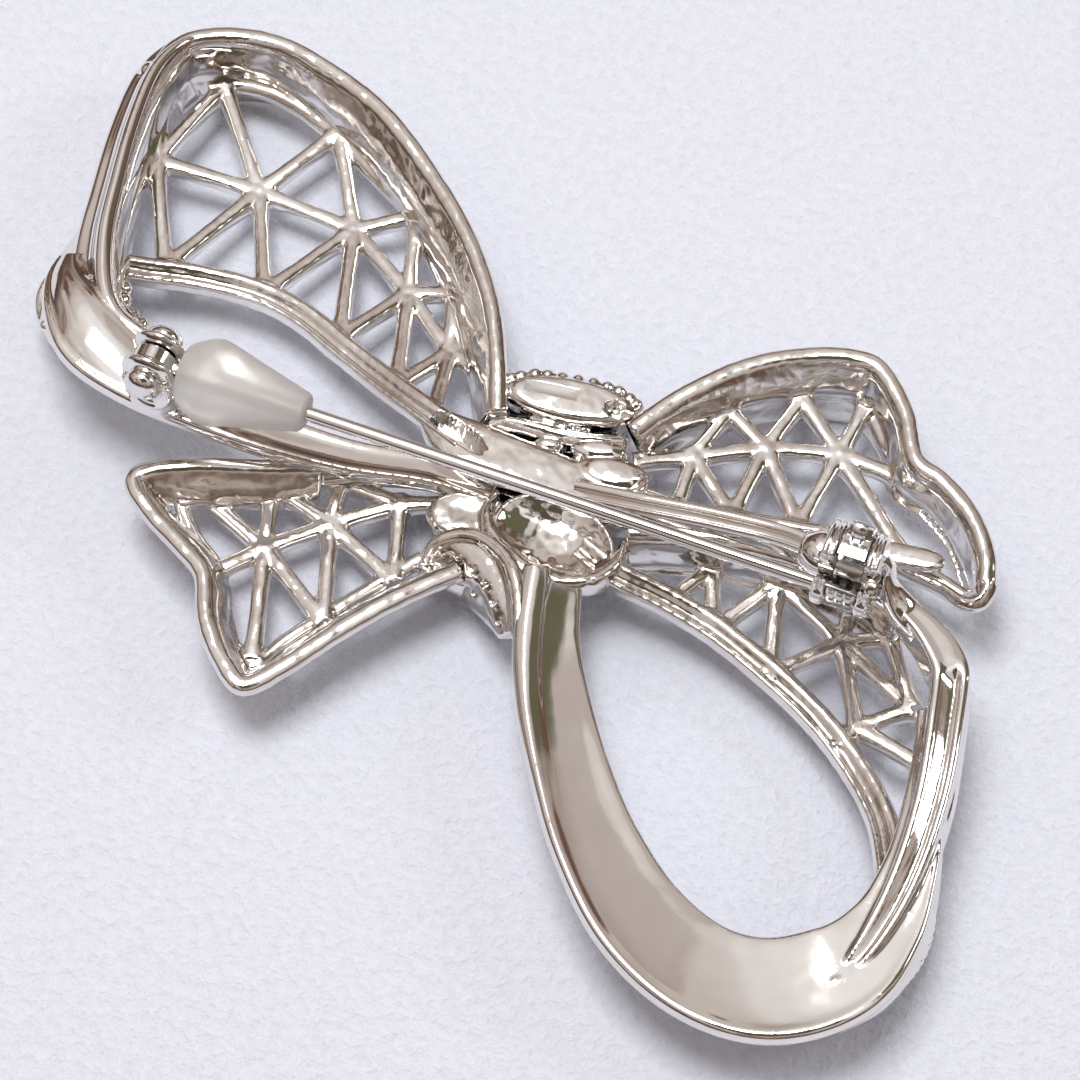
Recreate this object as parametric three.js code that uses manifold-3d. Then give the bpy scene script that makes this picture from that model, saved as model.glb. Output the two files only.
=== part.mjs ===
// Openwork ribbon-bow brooch, lying face down: the pin, its hinge and its catch are on top (+Z).
// Millimetres. The pin lies along X at y = 0, from the hinge (-X) to the catch (+X).
import * as THREE from "three";
import Module from "manifold-3d";

const wasm = await Module();
wasm.setup();

// ---- driving dimensions -------------------------------------------------------------
const CENTRE_X = -2.08;
const CENTRE_Y = 0.63;
const LIFT = 0.04;

const PIN_Z = 8.8;
const PIN_R = 0.375;
const PIN_TIP_X = 17.3;
const HINGE_X = -20.0;
const EYE_R = 1.15;
const EYE_HALF = 0.42;
const RIVET_R = 0.5;
const EAR_R = 1.45;
const EAR_IN = 0.47;
const EAR_OUT = 1.05;
const RUN_GAP = 0.03;

const CATCH_Y = 1.25;
const CATCH_Z = 9.35;
const FLANGE_R = 1.95;
const FLANGE_A = [14.7, 15.4];
const FLANGE_B = [16.9, 17.6];
const DRUM_X = [15.48, 16.82];
const DRUM_IN = 1.79;
const DRUM_OUT = 2.05;
const AXLE_R = 0.45;
const SLOT_HALF = 0.45;

const BAR_W = 0.74;
const BAR_H = 0.7;
const STONE_R = 0.56;

// ---- materials ----------------------------------------------------------------------
const metal = () => new THREE.MeshStandardMaterial({ color: 0xd9d4cf, roughness: 0.12, metalness: 1 });
const steel = () => new THREE.MeshStandardMaterial({ color: 0xd2d0ce, roughness: 0.18, metalness: 1 });
const frosted = () => new THREE.MeshStandardMaterial({ color: 0xd8cfc9, roughness: 0.5, metalness: 0 });
const crystal = () => new THREE.MeshStandardMaterial({ color: 0xeef2f6, roughness: 0.05, metalness: 0 });

// ---- bodies -------------------------------------------------------------------------
function solid(points, triangles) {
  let volume = 0;
  for (const [a, b, c] of triangles) {
    volume += points[a].dot(new THREE.Vector3().crossVectors(points[b], points[c]));
  }
  const turned = volume < 0 ? triangles.map(([a, b, c]) => [a, c, b]) : triangles;
  const vertProperties = new Float32Array(points.flatMap((p) => [p.x, p.y, p.z]));
  const triVerts = new Uint32Array(turned.flat());
  return new wasm.Manifold(new wasm.Mesh({ numProp: 3, vertProperties, triVerts }));
}

function join(list) {
  return list.reduce((whole, next) => whole.add(next));
}

function less(body, cutters) {
  return cutters.reduce((left, cutter) => left.subtract(cutter), body);
}

// A smooth line through a few stations; every station may carry more numbers than x, y, z.
function smooth(stations, per, closed = false) {
  const count = stations.length;
  const at = (i) => (closed ? stations[(i + count) % count] : stations[Math.max(0, Math.min(count - 1, i))]);
  const spans = closed ? count : count - 1;
  const line = [];
  for (let i = 0; i < spans; i += 1) {
    for (let k = 0; k < per; k += 1) {
      const t = k / per;
      line.push(at(i).map((_, n) => {
        const [a, b, c, d] = [at(i - 1)[n], at(i)[n], at(i + 1)[n], at(i + 2)[n]];
        return 0.5 * (2 * b + (c - a) * t + (2 * a - 5 * b + 4 * c - d) * t * t + (3 * b - a - 3 * c + d) * t ** 3);
      }));
    }
  }
  if (!closed) {
    line.push(at(count - 1));
  }
  return line;
}

// The triangles that fill an outline, wound the way the outline runs.
function cover(outline) {
  const flat = outline.map(([s, h]) => new THREE.Vector2(s, h));
  const runs = Math.sign(THREE.ShapeUtils.area(flat));
  return THREE.ShapeUtils.triangulateShape(flat, []).map(([a, b, c]) => {
    const wound = Math.sign(THREE.ShapeUtils.area([flat[a], flat[b], flat[c]]));
    return wound === runs ? [a, b, c] : [a, c, b];
  });
}

// A section carried along a line. section(station) gives [side, height] pairs: side is to the right of travel.
function sweep(line, section, closed = false, up = new THREE.Vector3(0, 0, 1)) {
  const rings = line.map((station, i) => {
    const before = line[closed ? (i - 1 + line.length) % line.length : Math.max(0, i - 1)];
    const after = line[closed ? (i + 1) % line.length : Math.min(line.length - 1, i + 1)];
    const along = new THREE.Vector3(after[0] - before[0], after[1] - before[1], after[2] - before[2]);
    const side = along.clone().cross(up).normalize();
    const rise = side.clone().cross(along).normalize();
    const centre = new THREE.Vector3(station[0], station[1], station[2]);
    return section(station).map(([s, h]) => centre.clone().addScaledVector(side, s).addScaledVector(rise, h));
  });
  const size = rings[0].length;
  const triangles = [];
  const turns = closed ? rings.length : rings.length - 1;
  for (let i = 0; i < turns; i += 1) {
    const j = (i + 1) % rings.length;
    for (let k = 0; k < size; k += 1) {
      const m = (k + 1) % size;
      triangles.push([i * size + k, j * size + k, j * size + m]);
      triangles.push([i * size + k, j * size + m, i * size + m]);
    }
  }
  if (!closed) {
    const last = (rings.length - 1) * size;
    for (const [a, b, c] of cover(section(line[0]))) {
      triangles.push([a, b, c]);
    }
    for (const [a, b, c] of cover(section(line[line.length - 1]))) {
      triangles.push([last + a, last + c, last + b]);
    }
  }
  return solid(rings.flat(), triangles);
}

// A turned body about a line parallel to an axis: profile of [along, radius], radius 0 only at its ends.
function turned(profile, sides, place) {
  const points = [];
  const rings = profile.map(([along, radius]) => {
    const start = points.length;
    const count = radius === 0 ? 1 : sides;
    for (let k = 0; k < count; k += 1) {
      const angle = (2 * Math.PI * (k + 0.5)) / sides;
      points.push(place(along, radius * Math.cos(angle), radius * Math.sin(angle)));
    }
    return { start, count };
  });
  const triangles = [];
  for (let i = 0; i < rings.length - 1; i += 1) {
    const [a, b] = [rings[i], rings[i + 1]];
    for (let k = 0; k < sides; k += 1) {
      const m = (k + 1) % sides;
      if (a.count > 1) {
        triangles.push([a.start + k, b.start + (b.count > 1 ? k : 0), a.start + m]);
      }
      if (b.count > 1) {
        triangles.push([a.start + (a.count > 1 ? m : 0), b.start + k, b.start + m]);
      }
    }
  }
  return solid(points, triangles);
}

const alongX = (y, z) => (along, u, v) => new THREE.Vector3(along, y + u, z + v);
const alongY = (x, z) => (along, u, v) => new THREE.Vector3(x + v, along, z + u);

function rod(x0, x1, radius, sides, place) {
  return turned([[x0, 0], [x0, radius], [x1, radius], [x1, 0]], sides, place);
}

function box(x0, x1, y0, y1, z0, z1) {
  const line = [[x0, (y0 + y1) / 2, (z0 + z1) / 2], [x1, (y0 + y1) / 2, (z0 + z1) / 2]];
  const [w, h] = [(y1 - y0) / 2, (z1 - z0) / 2];
  return sweep(line, () => [[-w, -h], [w, -h], [w, h], [-w, h]]);
}

// An eight-sided section of width w and height h with chamfered corners, hung so its top is at height 0.
function pillow(w, h, cut = 0.3) {
  const c = cut * Math.min(w, h);
  return [
    [w / 2 - c, 0], [w / 2, -c], [w / 2, -h + c], [w / 2 - c, -h],
    [-w / 2 + c, -h], [-w / 2, -h + c], [-w / 2, -c], [-w / 2 + c, 0],
  ];
}

// A straight bar between two nodes, ridged, its top at the nodes' height.
function bar(a, b, w = BAR_W, h = BAR_H) {
  return sweep([a, b], () => [[w / 2, -h * 0.3], [w / 2, -h], [-w / 2, -h], [-w / 2, -h * 0.3], [0, 0]]);
}

function network(nodes, links) {
  return links.map(([a, b]) => bar(nodes[a], nodes[b]));
}

// ---- parts --------------------------------------------------------------------------
const group = new THREE.Group();
group.name = "bow_brooch";

const fixed = [];

function near(a, b) {
  const [p, q] = [a.boundingBox(), b.boundingBox()];
  return [0, 1, 2].every((i) => p.min[i] < q.max[i] && q.min[i] < p.max[i]);
}

function largest(body) {
  return body.decompose().sort((a, b) => b.volume() - a.volume())[0];
}

// The piece without whatever the pieces before it already fill, as one body.
function seat(body) {
  const bare = less(body, fixed.filter((other) => near(body, other)));
  const whole = largest(largest(bare).simplify(0.002));
  fixed.push(whole);
  return whole;
}

function show(name, body, material) {
  const mesh = body.getMesh();
  const geometry = new THREE.BufferGeometry();
  const flat = [];
  for (let i = 0; i < mesh.vertProperties.length; i += mesh.numProp) {
    flat.push(mesh.vertProperties[i] - CENTRE_X);
    flat.push(mesh.vertProperties[i + 1] - CENTRE_Y);
    flat.push(mesh.vertProperties[i + 2] + LIFT);
  }
  geometry.setAttribute("position", new THREE.Float32BufferAttribute(flat, 3));
  geometry.setIndex(Array.from(mesh.triVerts));
  geometry.computeVertexNormals();
  const node = new THREE.Mesh(geometry, material);
  node.name = name;
  group.add(node);
}

// Loop A, upper left: a tall thin wall round the outside, a pierced gallery, a fold and a broad band.
const loopAWallLine = smooth([
  [-29.0, 16.4, 5.6, 5.0], [-28.6, 19.6, 5.4, 5.3], [-25.8, 22.1, 5.2, 5.2], [-21.4, 22.4, 5.2, 4.6],
  [-16.7, 20.8, 5.2, 4.0], [-12.6, 18.0, 5.1, 3.6], [-8.8, 14.5, 5.0, 3.4], [-6.0, 10.6, 4.9, 3.3], [-3.8, 6.0, 4.8, 3.2],
], 3);
// A wall whose depth is the station's fourth number, leaning in towards the front.
const wallSection = (s) => [
  [0.3, -s[3]], [-0.45, -s[3]], [-0.45, -0.5], [-0.2, 0], [0.3, 0], [0.5, -0.5], [0.7, -2.6],
];
const loopAWall = sweep(loopAWallLine, wallSection);

const foldALine = smooth([
  [-28.7, 17.2, 6.0], [-28.3, 14.6, 6.1], [-27.5, 11.2, 6.1], [-26.5, 7.6, 6.1], [-25.5, 4.8, 5.9],
], 3);
const foldATube = sweep(foldALine, () => pillow(0.95, 1.1, 0.35));

const foldAStripLine = smooth([
  [-28.9, 16.4, 3.6], [-28.6, 13.6, 3.6], [-28.0, 10.0, 3.6], [-27.8, 6.8, 3.6], [-27.8, 4.4, 3.6],
], 2);
// A sloping side wall on a broad front edge that carries a row of stones.
const stripSection = () => [[-0.7, 1.7], [-0.1, 1.8], [0.95, -1.0], [0.9, -1.9], [-0.9, -1.9], [-0.9, -1.0]];
const foldAStrip = sweep(foldAStripLine, stripSection);

const loopABandLine = smooth([
  [-26.0, 3.6, 5.9, 3.8], [-24.2, 2.2, 5.9, 4.4], [-21.6, 1.1, 5.6, 3.6], [-18.4, 0.6, 5.2, 3.0],
  [-14.4, 0.5, 4.8, 2.6], [-10.2, 0.9, 4.3, 2.2], [-5.6, 2.0, 4.1, 1.8],
], 3);
const bandSection = (s) => {
  const w = s[3] / 2;
  return [
    [w, -0.2], [w - 0.1, -1.5], [w - 0.7, -1.9], [-w + 0.7, -1.9], [-w + 0.1, -1.5], [-w, -0.2],
    [-w + 0.25, 0], [-w * 0.5, -0.25], [w * 0.5, -0.25], [w - 0.25, 0],
  ];
};
const loopABand = sweep(loopABandLine, bandSection);

const loopAEyeLine = smooth([
  [-27.0, 7.4, 3.9], [-24.7, 8.0, 3.4], [-21.9, 8.8, 3.0], [-18.8, 9.1, 2.9], [-16.0, 8.6, 3.0],
  [-13.2, 7.4, 3.2], [-10.0, 6.0, 3.6], [-7.6, 5.0, 4.0], [-5.0, 3.9, 4.4],
], 3);
const loopAEye = sweep(loopAEyeLine, () => pillow(1.4, 1.5));
const loopASill = sweep(smooth([
  [-27.2, 16.4, 2.9], [-26.9, 20.2, 2.7], [-25.0, 21.2, 2.6], [-22.2, 21.2, 2.6], [-19.3, 20.2, 2.5], [-15.7, 18.3, 2.5],
  [-12.9, 16.6, 2.5], [-9.2, 12.6, 2.6], [-6.7, 9.3, 2.7], [-5.2, 6.8, 2.9],
], 2), () => pillow(0.7, 1.0));
const loopANodes = {
  h1: [-21.8, 15.9, 2.2], h2: [-15.8, 14.8, 2.1], h3: [-11.4, 12.1, 2.2], h4: [-8.0, 9.4, 2.4],
  r1: [-26.4, 21.0, 2.5], r2: [-18.6, 20.6, 2.5], r3: [-12.7, 17.0, 2.5], r4: [-9.0, 13.2, 2.5], r5: [-6.3, 8.9, 2.6],
  left: [-27.2, 14.8, 2.7], edge: [-28.6, 10.6, 3.0],
  l1: [-23.8, 8.6, 2.9], l2: [-18.4, 9.4, 2.6], l3: [-13.6, 8.2, 2.8], l4: [-9.7, 6.4, 3.2], l5: [-7.2, 5.2, 3.6],
};
const loopAGallery = join([loopAEye, loopASill, ...network(loopANodes, [
  ["h1", "r1"], ["h1", "r2"], ["h1", "left"], ["h1", "l1"], ["h1", "l2"], ["h1", "h2"],
  ["h2", "r2"], ["h2", "r3"], ["h2", "l2"], ["h2", "l3"], ["h2", "h3"],
  ["h3", "r3"], ["h3", "r4"], ["h3", "l3"], ["h3", "l4"], ["h3", "h4"],
  ["h4", "r4"], ["h4", "r5"], ["h4", "l4"], ["h4", "l5"],
  ["left", "r1"], ["left", "l1"], ["left", "edge"],
])]);

// Loop B, lower right: the same build, with the fold running down its right side.
const loopBEyeLine = smooth([
  [2.6, 0.4, 4.1], [4.8, -0.3, 3.8], [7.4, -0.5, 3.4], [10.4, -1.1, 3.1], [13.6, -2.3, 2.9], [16.6, -3.8, 2.9],
  [19.3, -5.8, 3.0], [21.3, -8.0, 3.3], [22.5, -10.2, 3.9],
], 3);
const loopBEye = sweep(loopBEyeLine, () => pillow(1.4, 1.5));
const foldBLine = smooth([
  [18.5, 1.7, 6.2], [20.4, 0.9, 6.1], [22.2, -0.4, 6.1], [22.4, -2.6, 6.1], [22.9, -5.4, 6.1],
  [23.5, -9.0, 6.1], [23.6, -12.4, 5.9], [23.6, -14.6, 5.6],
], 3);
const foldBTube = sweep(foldBLine, () => pillow(1.15, 1.1, 0.35));
const foldBStripLine = smooth([
  [22.6, -2.0, 3.4], [23.2, -5.2, 3.2], [24.0, -8.8, 2.9], [24.5, -12.4, 2.6], [24.6, -15.4, 2.3], [24.0, -18.0, 2.0],
], 2);
const foldBStrip = sweep(foldBStripLine, () => stripSection().map(([s, h]) => [-s, h]).reverse());
const loopBBandLine = smooth([
  [1.7, -1.8, 4.1, 2.6], [2.9, -5.2, 4.5, 3.1], [4.6, -8.4, 4.6, 3.6], [6.6, -11.6, 4.6, 4.0], [9.0, -14.6, 4.6, 4.5],
  [12.2, -17.4, 4.6, 5.0], [15.8, -18.9, 4.6, 5.3], [19.2, -18.7, 4.7, 5.5], [22.2, -16.8, 4.9, 5.2], [23.6, -14.0, 5.1, 4.0],
  [23.9, -11.0, 5.3, 2.8], [23.6, -8.0, 5.5, 2.3], [23.0, -5.0, 5.7, 2.2], [22.5, -2.4, 5.8, 2.2],
], 3);
const loopBBand = sweep(loopBBandLine, bandSection);
const loopBWallLine = smooth([
  [4.6, 1.6, 4.8, 3.0], [8.4, 2.7, 5.0, 3.2], [12.4, 3.1, 5.2, 3.4], [16.2, 2.9, 5.4, 3.5], [18.9, 2.0, 5.5, 3.6],
], 3);
const loopBWall = sweep(loopBWallLine, wallSection);
const loopBNodes = {
  hub: [16.4, 0.6, 2.5], t1: [9.0, 2.4, 2.7], t2: [12.4, 2.8, 2.7], t3: [16.2, 2.6, 2.7], t4: [18.6, 1.6, 2.8],
  l1: [7.6, -0.6, 2.9], l2: [10.2, -1.1, 2.7], l3: [13.6, -2.4, 2.6], l4: [18.2, -5.0, 2.7],
  r1: [20.6, -1.8, 2.9], r2: [22.2, -4.4, 3.0], low: [18.6, -3.6, 2.7],
};
const loopBGallery = join([loopBEye, ...network(loopBNodes, [
  ["t1", "l1"], ["t1", "l2"], ["l2", "t2"], ["t2", "l3"], ["l3", "hub"], ["hub", "t3"], ["hub", "t2"],
  ["hub", "t4"], ["hub", "r1"], ["hub", "low"], ["low", "l4"], ["low", "r2"], ["low", "r1"], ["r1", "t4"],
])]);

// Tail C, right: a swallow-tailed frame with an openwork filling.
const tailCLine = smooth([
  [2.8, 7.2, 4.6, 2.6], [4.6, 10.0, 4.8, 3.6], [7.2, 12.8, 4.9, 4.5], [10.2, 14.6, 4.9, 4.9], [12.6, 15.2, 4.9, 4.9],
  [14.0, 14.6, 4.9, 4.6], [15.6, 12.8, 4.9, 4.0], [16.8, 10.6, 4.9, 3.2], [18.4, 9.9, 4.9, 2.6], [20.3, 8.6, 4.9, 2.4],
  [21.7, 6.8, 4.9, 2.4], [22.3, 5.0, 4.8, 2.4], [22.0, 3.9, 4.6, 2.4], [21.0, 4.1, 4.4, 2.3], [19.6, 4.9, 4.3, 2.2], [18.2, 5.3, 4.2, 2.2],
], 2);
const tailCWall = sweep(tailCLine, (s) => [[-0.35, -s[3]], [0.4, -s[3]], [0.45, -0.3], [0.15, 0], [-0.3, -0.1], [-0.45, -0.6]]);
const bridgeLine = smooth([[1.2, 3.0, 4.5], [4.4, 3.1, 5.1], [8.6, 3.3, 5.8], [12.2, 3.3, 6.4], [14.7, 2.8, 7.0]], 2);
const bridgeBar = sweep(bridgeLine, () => pillow(1.15, 1.6));
const tailCNodes = {
  c3: [6.0, 7.8, 2.8], c1: [9.3, 9.6, 2.8], c2: [12.9, 10.6, 2.8], t1: [6.8, 11.0, 2.9], t2: [10.1, 13.2, 2.9],
  t3: [13.3, 14.4, 2.9], b0: [3.2, 6.4, 2.9], b1: [6.2, 4.6, 2.9], b2: [9.0, 5.2, 2.9], b3: [12.3, 5.8, 2.9],
  n1: [16.7, 10.6, 2.9], n2: [18.0, 6.6, 2.9], tip: [21.9, 4.4, 2.9],
};
const tailCSill = sweep(smooth([
  [2.4, 4.6, 3.6], [6.2, 4.6, 3.4], [10.4, 5.3, 3.3], [14.6, 6.0, 3.2], [18.2, 5.8, 3.2], [21.8, 4.3, 3.2],
], 2), () => pillow(0.8, 1.2));
const tailCRim = sweep(smooth([
  [3.6, 8.1, 3.1], [4.6, 9.9, 3.0], [6.6, 11.7, 2.9], [9.1, 13.3, 2.9], [11.8, 14.4, 2.9], [13.2, 14.1, 2.9],
  [14.6, 12.6, 2.9], [16.2, 10.8, 2.9], [17.7, 9.6, 2.9], [19.1, 8.3, 2.9], [20.3, 6.3, 2.9],
], 2), () => pillow(0.7, 1.0));
const tailCGallery = join([tailCSill, tailCRim, ...network(tailCNodes, [
  ["c3", "c1"], ["c1", "c2"], ["c2", "n1"], ["c3", "t1"], ["t1", "c1"], ["c1", "t2"], ["t2", "c2"], ["c2", "t3"],
  ["c3", "b0"], ["c3", "b1"], ["c3", "b2"], ["c1", "b2"], ["c1", "b3"], ["c2", "b3"], ["c2", "n2"],
])]);

// Tail D, left.
const tailDLine = smooth([
  [-2.6, -3.0, 4.0], [-5.0, -5.7, 4.1], [-7.0, -8.4, 4.1], [-8.8, -11.2, 4.1], [-10.2, -12.7, 4.1], [-11.8, -11.7, 4.1],
  [-13.3, -10.0, 4.1], [-14.5, -7.7, 4.1], [-16.4, -6.5, 4.1], [-18.4, -5.4, 4.1], [-19.8, -4.1, 4.1], [-18.8, -3.0, 4.1],
  [-16.4, -1.9, 4.0], [-14.4, -1.0, 3.2],
], 2);
const tailDWall = sweep(tailDLine, () => [[-0.45, -0.4], [-0.3, 0], [0.2, 0], [0.45, -0.4], [0.35, -2.2], [-0.4, -2.2]]);
const tailDNodes = {
  d1: [-12.6, -4.5, 2.2], d2: [-10.0, -2.1, 2.2], d3: [-7.1, 0.2, 2.3], t1: [-16.8, -2.8, 2.3], t2: [-13.6, -0.8, 2.3],
  t3: [-10.4, 0.7, 2.3], t4: [-7.0, 2.4, 2.5], left: [-14.8, -7.2, 2.3], b1: [-10.6, -11.8, 2.3], b2: [-7.9, -9.0, 2.3],
  b3: [-5.6, -6.4, 2.3], end: [-3.6, 1.4, 2.6],
};
const tailDSill = sweep(smooth([
  [-15.2, -1.4, 2.9], [-12.6, -0.4, 2.7], [-9.6, 0.9, 2.7], [-6.6, 1.9, 2.7],
], 2), () => pillow(0.8, 1.1));
const tailDRim = sweep(smooth([
  [-17.6, -3.7, 2.5], [-16.2, -5.2, 2.4], [-14.5, -6.4, 2.4], [-13.3, -8.2, 2.4], [-11.9, -10.2, 2.4], [-10.6, -10.9, 2.4],
  [-9.6, -9.0, 2.4], [-7.6, -6.0, 2.4], [-4.9, -2.2, 2.5],
], 2), () => pillow(0.7, 0.9));
const tailDGallery = join([tailDSill, tailDRim, ...network(tailDNodes, [
  ["d1", "t1"], ["d1", "t2"], ["d1", "left"], ["d1", "b1"], ["d1", "b2"], ["d1", "d2"],
  ["d2", "t2"], ["d2", "t3"], ["d2", "b2"], ["d2", "b3"], ["d2", "d3"], ["d3", "t3"], ["d3", "b3"], ["d3", "end"],
])]);

// Knot: a domed wrap across the front, a bridge block behind it and a polished dish beside the bridge.
const knotLine = smooth([
  [-1.1, 8.0, 4.9], [-1.0, 8.7, 3.2], [-0.9, 8.0, 1.3], [-0.9, 5.6, 0.4], [-1.0, 2.6, 0.4],
  [-1.1, -0.8, 0.4], [-1.3, -3.0, 1.2], [-1.5, -3.9, 2.8], [-1.4, -3.4, 4.1],
], 2);
const knotSection = () => [
  [0.1, -3.6], [-0.28, -2.4], [-0.35, 0], [-0.28, 2.4], [0.1, 3.6], [0.7, 3.4], [0.45, 0], [0.7, -3.4],
];
const coreLine = smooth([[-6.4, 3.0, 4.1], [-3.4, 2.8, 4.2], [-0.4, 2.6, 4.2], [2.2, 2.4, 4.2], [4.4, 2.0, 4.2]], 2);
const coreSection = () => [[2.0, -2.6], [-2.0, -2.6], [-2.1, -0.4], [-1.6, 0], [1.6, 0], [2.1, -0.4]];

const knotWrap = sweep(knotLine, knotSection, false, new THREE.Vector3(1, 0, 0));
const knotCore = sweep(coreLine, coreSection);
const dish = turned([[2.1, 0], [2.1, 1.0], [2.5, 2.1], [3.5, 2.75], [4.1, 2.85], [4.1, 2.5], [3.4, 2.2], [3.0, 1.4], [2.85, 0]],
  16, (along, u, v) => new THREE.Vector3(1.5 + u, -0.1 + v, along));

// Hinge: two rounded ears on a foot, with a rivet through them.
function ear(y0, y1) {
  const disc = turned([[y0, 0], [y0, EAR_R], [y1, EAR_R], [y1, 0]], 20, alongY(HINGE_X, PIN_Z));
  return disc.add(box(HINGE_X - EAR_R, HINGE_X + EAR_R, y0, y1, 5.3, PIN_Z));
}
const rivetHole = rod(-2, 2, RIVET_R, 16, alongY(HINGE_X, PIN_Z));
const hingeBracket = join([
  ear(-EAR_OUT, -EAR_IN), ear(EAR_IN, EAR_OUT),
  box(HINGE_X - EAR_R, HINGE_X + EAR_R, -EAR_OUT, EAR_OUT, 5.3, PIN_Z - EYE_R - 0.25),
]).subtract(rivetHole);
const rivet = turned([
  [-EAR_OUT - 0.55, 0], [-EAR_OUT - 0.45, 0.35], [-EAR_OUT - 0.2, 0.66], [-EAR_OUT, 0.76], [-EAR_OUT, RIVET_R],
  [EAR_OUT, RIVET_R], [EAR_OUT, 0.76], [EAR_OUT + 0.2, 0.66], [EAR_OUT + 0.45, 0.35], [EAR_OUT + 0.55, 0],
], 16, alongY(HINGE_X, PIN_Z));

// Pin stem: an eye that turns on the rivet, a straight wire and a tapered point.
const pinEye = rod(-EYE_HALF, EYE_HALF, EYE_R, 20, alongY(HINGE_X, PIN_Z));
const pinWire = turned([
  [HINGE_X + 0.7, 0], [HINGE_X + 0.7, PIN_R], [PIN_TIP_X - 3.2, PIN_R], [PIN_TIP_X - 1.2, PIN_R * 0.72],
  [PIN_TIP_X - 0.2, PIN_R * 0.28], [PIN_TIP_X, 0],
], 12, alongX(0, PIN_Z));
const pinStem = pinEye.add(pinWire).subtract(rod(-1, 1, RIVET_R + RUN_GAP, 16, alongY(HINGE_X, PIN_Z)));

// Guard: a frosted plastic body with a chamfered shoulder, bored for the pin.
const guard = turned([
  [HINGE_X + 1.6, 0], [HINGE_X + 1.6, 1.2], [HINGE_X + 1.8, 1.5], [HINGE_X + 3.05, 2.24], [HINGE_X + 3.6, 2.2],
  [HINGE_X + 8.15, 1.0], [HINGE_X + 8.25, 0.9], [HINGE_X + 8.25, 0],
], 20, alongX(0, PIN_Z)).subtract(rod(HINGE_X, HINGE_X + 10, PIN_R + RUN_GAP, 12, alongX(0, PIN_Z)));

// Catch: two slotted flanges on a foot and a post, and a C-shaped drum that turns between them.
const slot = box(FLANGE_A[0] - 1, FLANGE_B[1] + 0.001, -SLOT_HALF, SLOT_HALF, PIN_Z - 0.42, CATCH_Z + 4);
function flange([x0, x1]) {
  const disc = rod(x0, x1, FLANGE_R, 24, alongX(CATCH_Y, CATCH_Z));
  return disc.add(rod(x0, x1, 0.95, 16, alongX(0, PIN_Z)));
}
const catchPost = sweep(smooth([
  [FLANGE_B[0] + 0.3, CATCH_Y + 0.1, CATCH_Z - 0.1], [18.0, 1.4, 8.9], [18.6, 1.8, 7.4], [19.0, 1.9, 6.0],
], 3), () => [[-0.7, -0.6], [0.7, -0.6], [0.7, 0.5], [-0.7, 0.5]]);
const catchFoot = box(FLANGE_A[0], FLANGE_B[1], CATCH_Y - 0.9, CATCH_Y + 2.0, 5.9, CATCH_Z - DRUM_OUT - 0.08);
const catchBody = join([flange(FLANGE_A), flange(FLANGE_B), catchFoot, catchPost])
  .subtract(slot)
  .subtract(rod(FLANGE_A[0] + 0.2, FLANGE_B[1] - 0.2, AXLE_R + RUN_GAP, 16, alongX(CATCH_Y, CATCH_Z)));
function sector(from, to, radius) {
  const outline = [[0, 0]];
  for (let a = from; a <= to + 0.01; a += (to - from) / 6) {
    outline.push([radius * Math.cos((a * Math.PI) / 180), radius * Math.sin((a * Math.PI) / 180)]);
  }
  const line = [[DRUM_X[0] - 1, CATCH_Y, CATCH_Z], [DRUM_X[1] + 1, CATCH_Y, CATCH_Z]];
  return sweep(line, () => outline.map(([u, v]) => [-u, v]));
}
const drumShell = rod(DRUM_X[0], DRUM_X[1], DRUM_OUT, 32, alongX(CATCH_Y, CATCH_Z))
  .subtract(rod(DRUM_X[0] - 1, DRUM_X[1] + 1, DRUM_IN, 32, alongX(CATCH_Y, CATCH_Z)))
  .subtract(sector(106, 169, 3));
const drumWeb = box(DRUM_X[0], DRUM_X[1], CATCH_Y, CATCH_Y + DRUM_IN + 0.1, CATCH_Z - 0.6, CATCH_Z + 0.6);
const lever = box(DRUM_X[0] + 0.25, DRUM_X[1] - 0.25, CATCH_Y - 0.38, CATCH_Y + 0.38, CATCH_Z + DRUM_IN + 0.08, CATCH_Z + 2.75);
const drumAxle = rod(FLANGE_A[0] + 0.3, FLANGE_B[1] - 0.3, AXLE_R, 16, alongX(CATCH_Y, CATCH_Z));
const drumHub = rod(DRUM_X[0], DRUM_X[1], 0.8, 16, alongX(CATCH_Y, CATCH_Z));
const catchDrum = join([drumShell, drumWeb, lever, drumAxle, drumHub]);

// Round crystals, each with a flat table and a pointed back, set into the front (-Z) faces.
function stone(x, y, z, r = STONE_R) {
  const profile = [[z + r * 0.95, 0], [z + r * 0.15, r], [z - r * 0.05, r], [z - r * 0.35, r * 0.6], [z - r * 0.35, 0]];
  return turned(profile, 8, (along, u, v) => new THREE.Vector3(x + u, y + v, along));
}
const stones = [];
smooth([[-28.4, 14.8], [-27.9, 10.6], [-27.8, 5.6]], 3).forEach(([x, y], i) => {
  stones.push([`crystal_fold_a_${i + 1}`, stone(x, y, 1.72)]);
});
smooth([[23.0, -3.8, 1.45], [24.1, -9.2, 1.05], [24.2, -16.6, 0.3]], 3).forEach(([x, y, z], i) => {
  stones.push([`crystal_fold_b_${i + 1}`, stone(x, y, z)]);
});
for (let row = 0; row < 4; row += 1) {
  for (let column = -1; column <= 1; column += 1) {
    const name = `crystal_knot_${row + 1}_${column + 2}`;
    stones.push([name, stone(-1.0 + column * 2.1, 6.1 - row * 2.1, 0.35 + (column === 0 ? 0 : 0.06), 0.8)]);
  }
}

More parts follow.
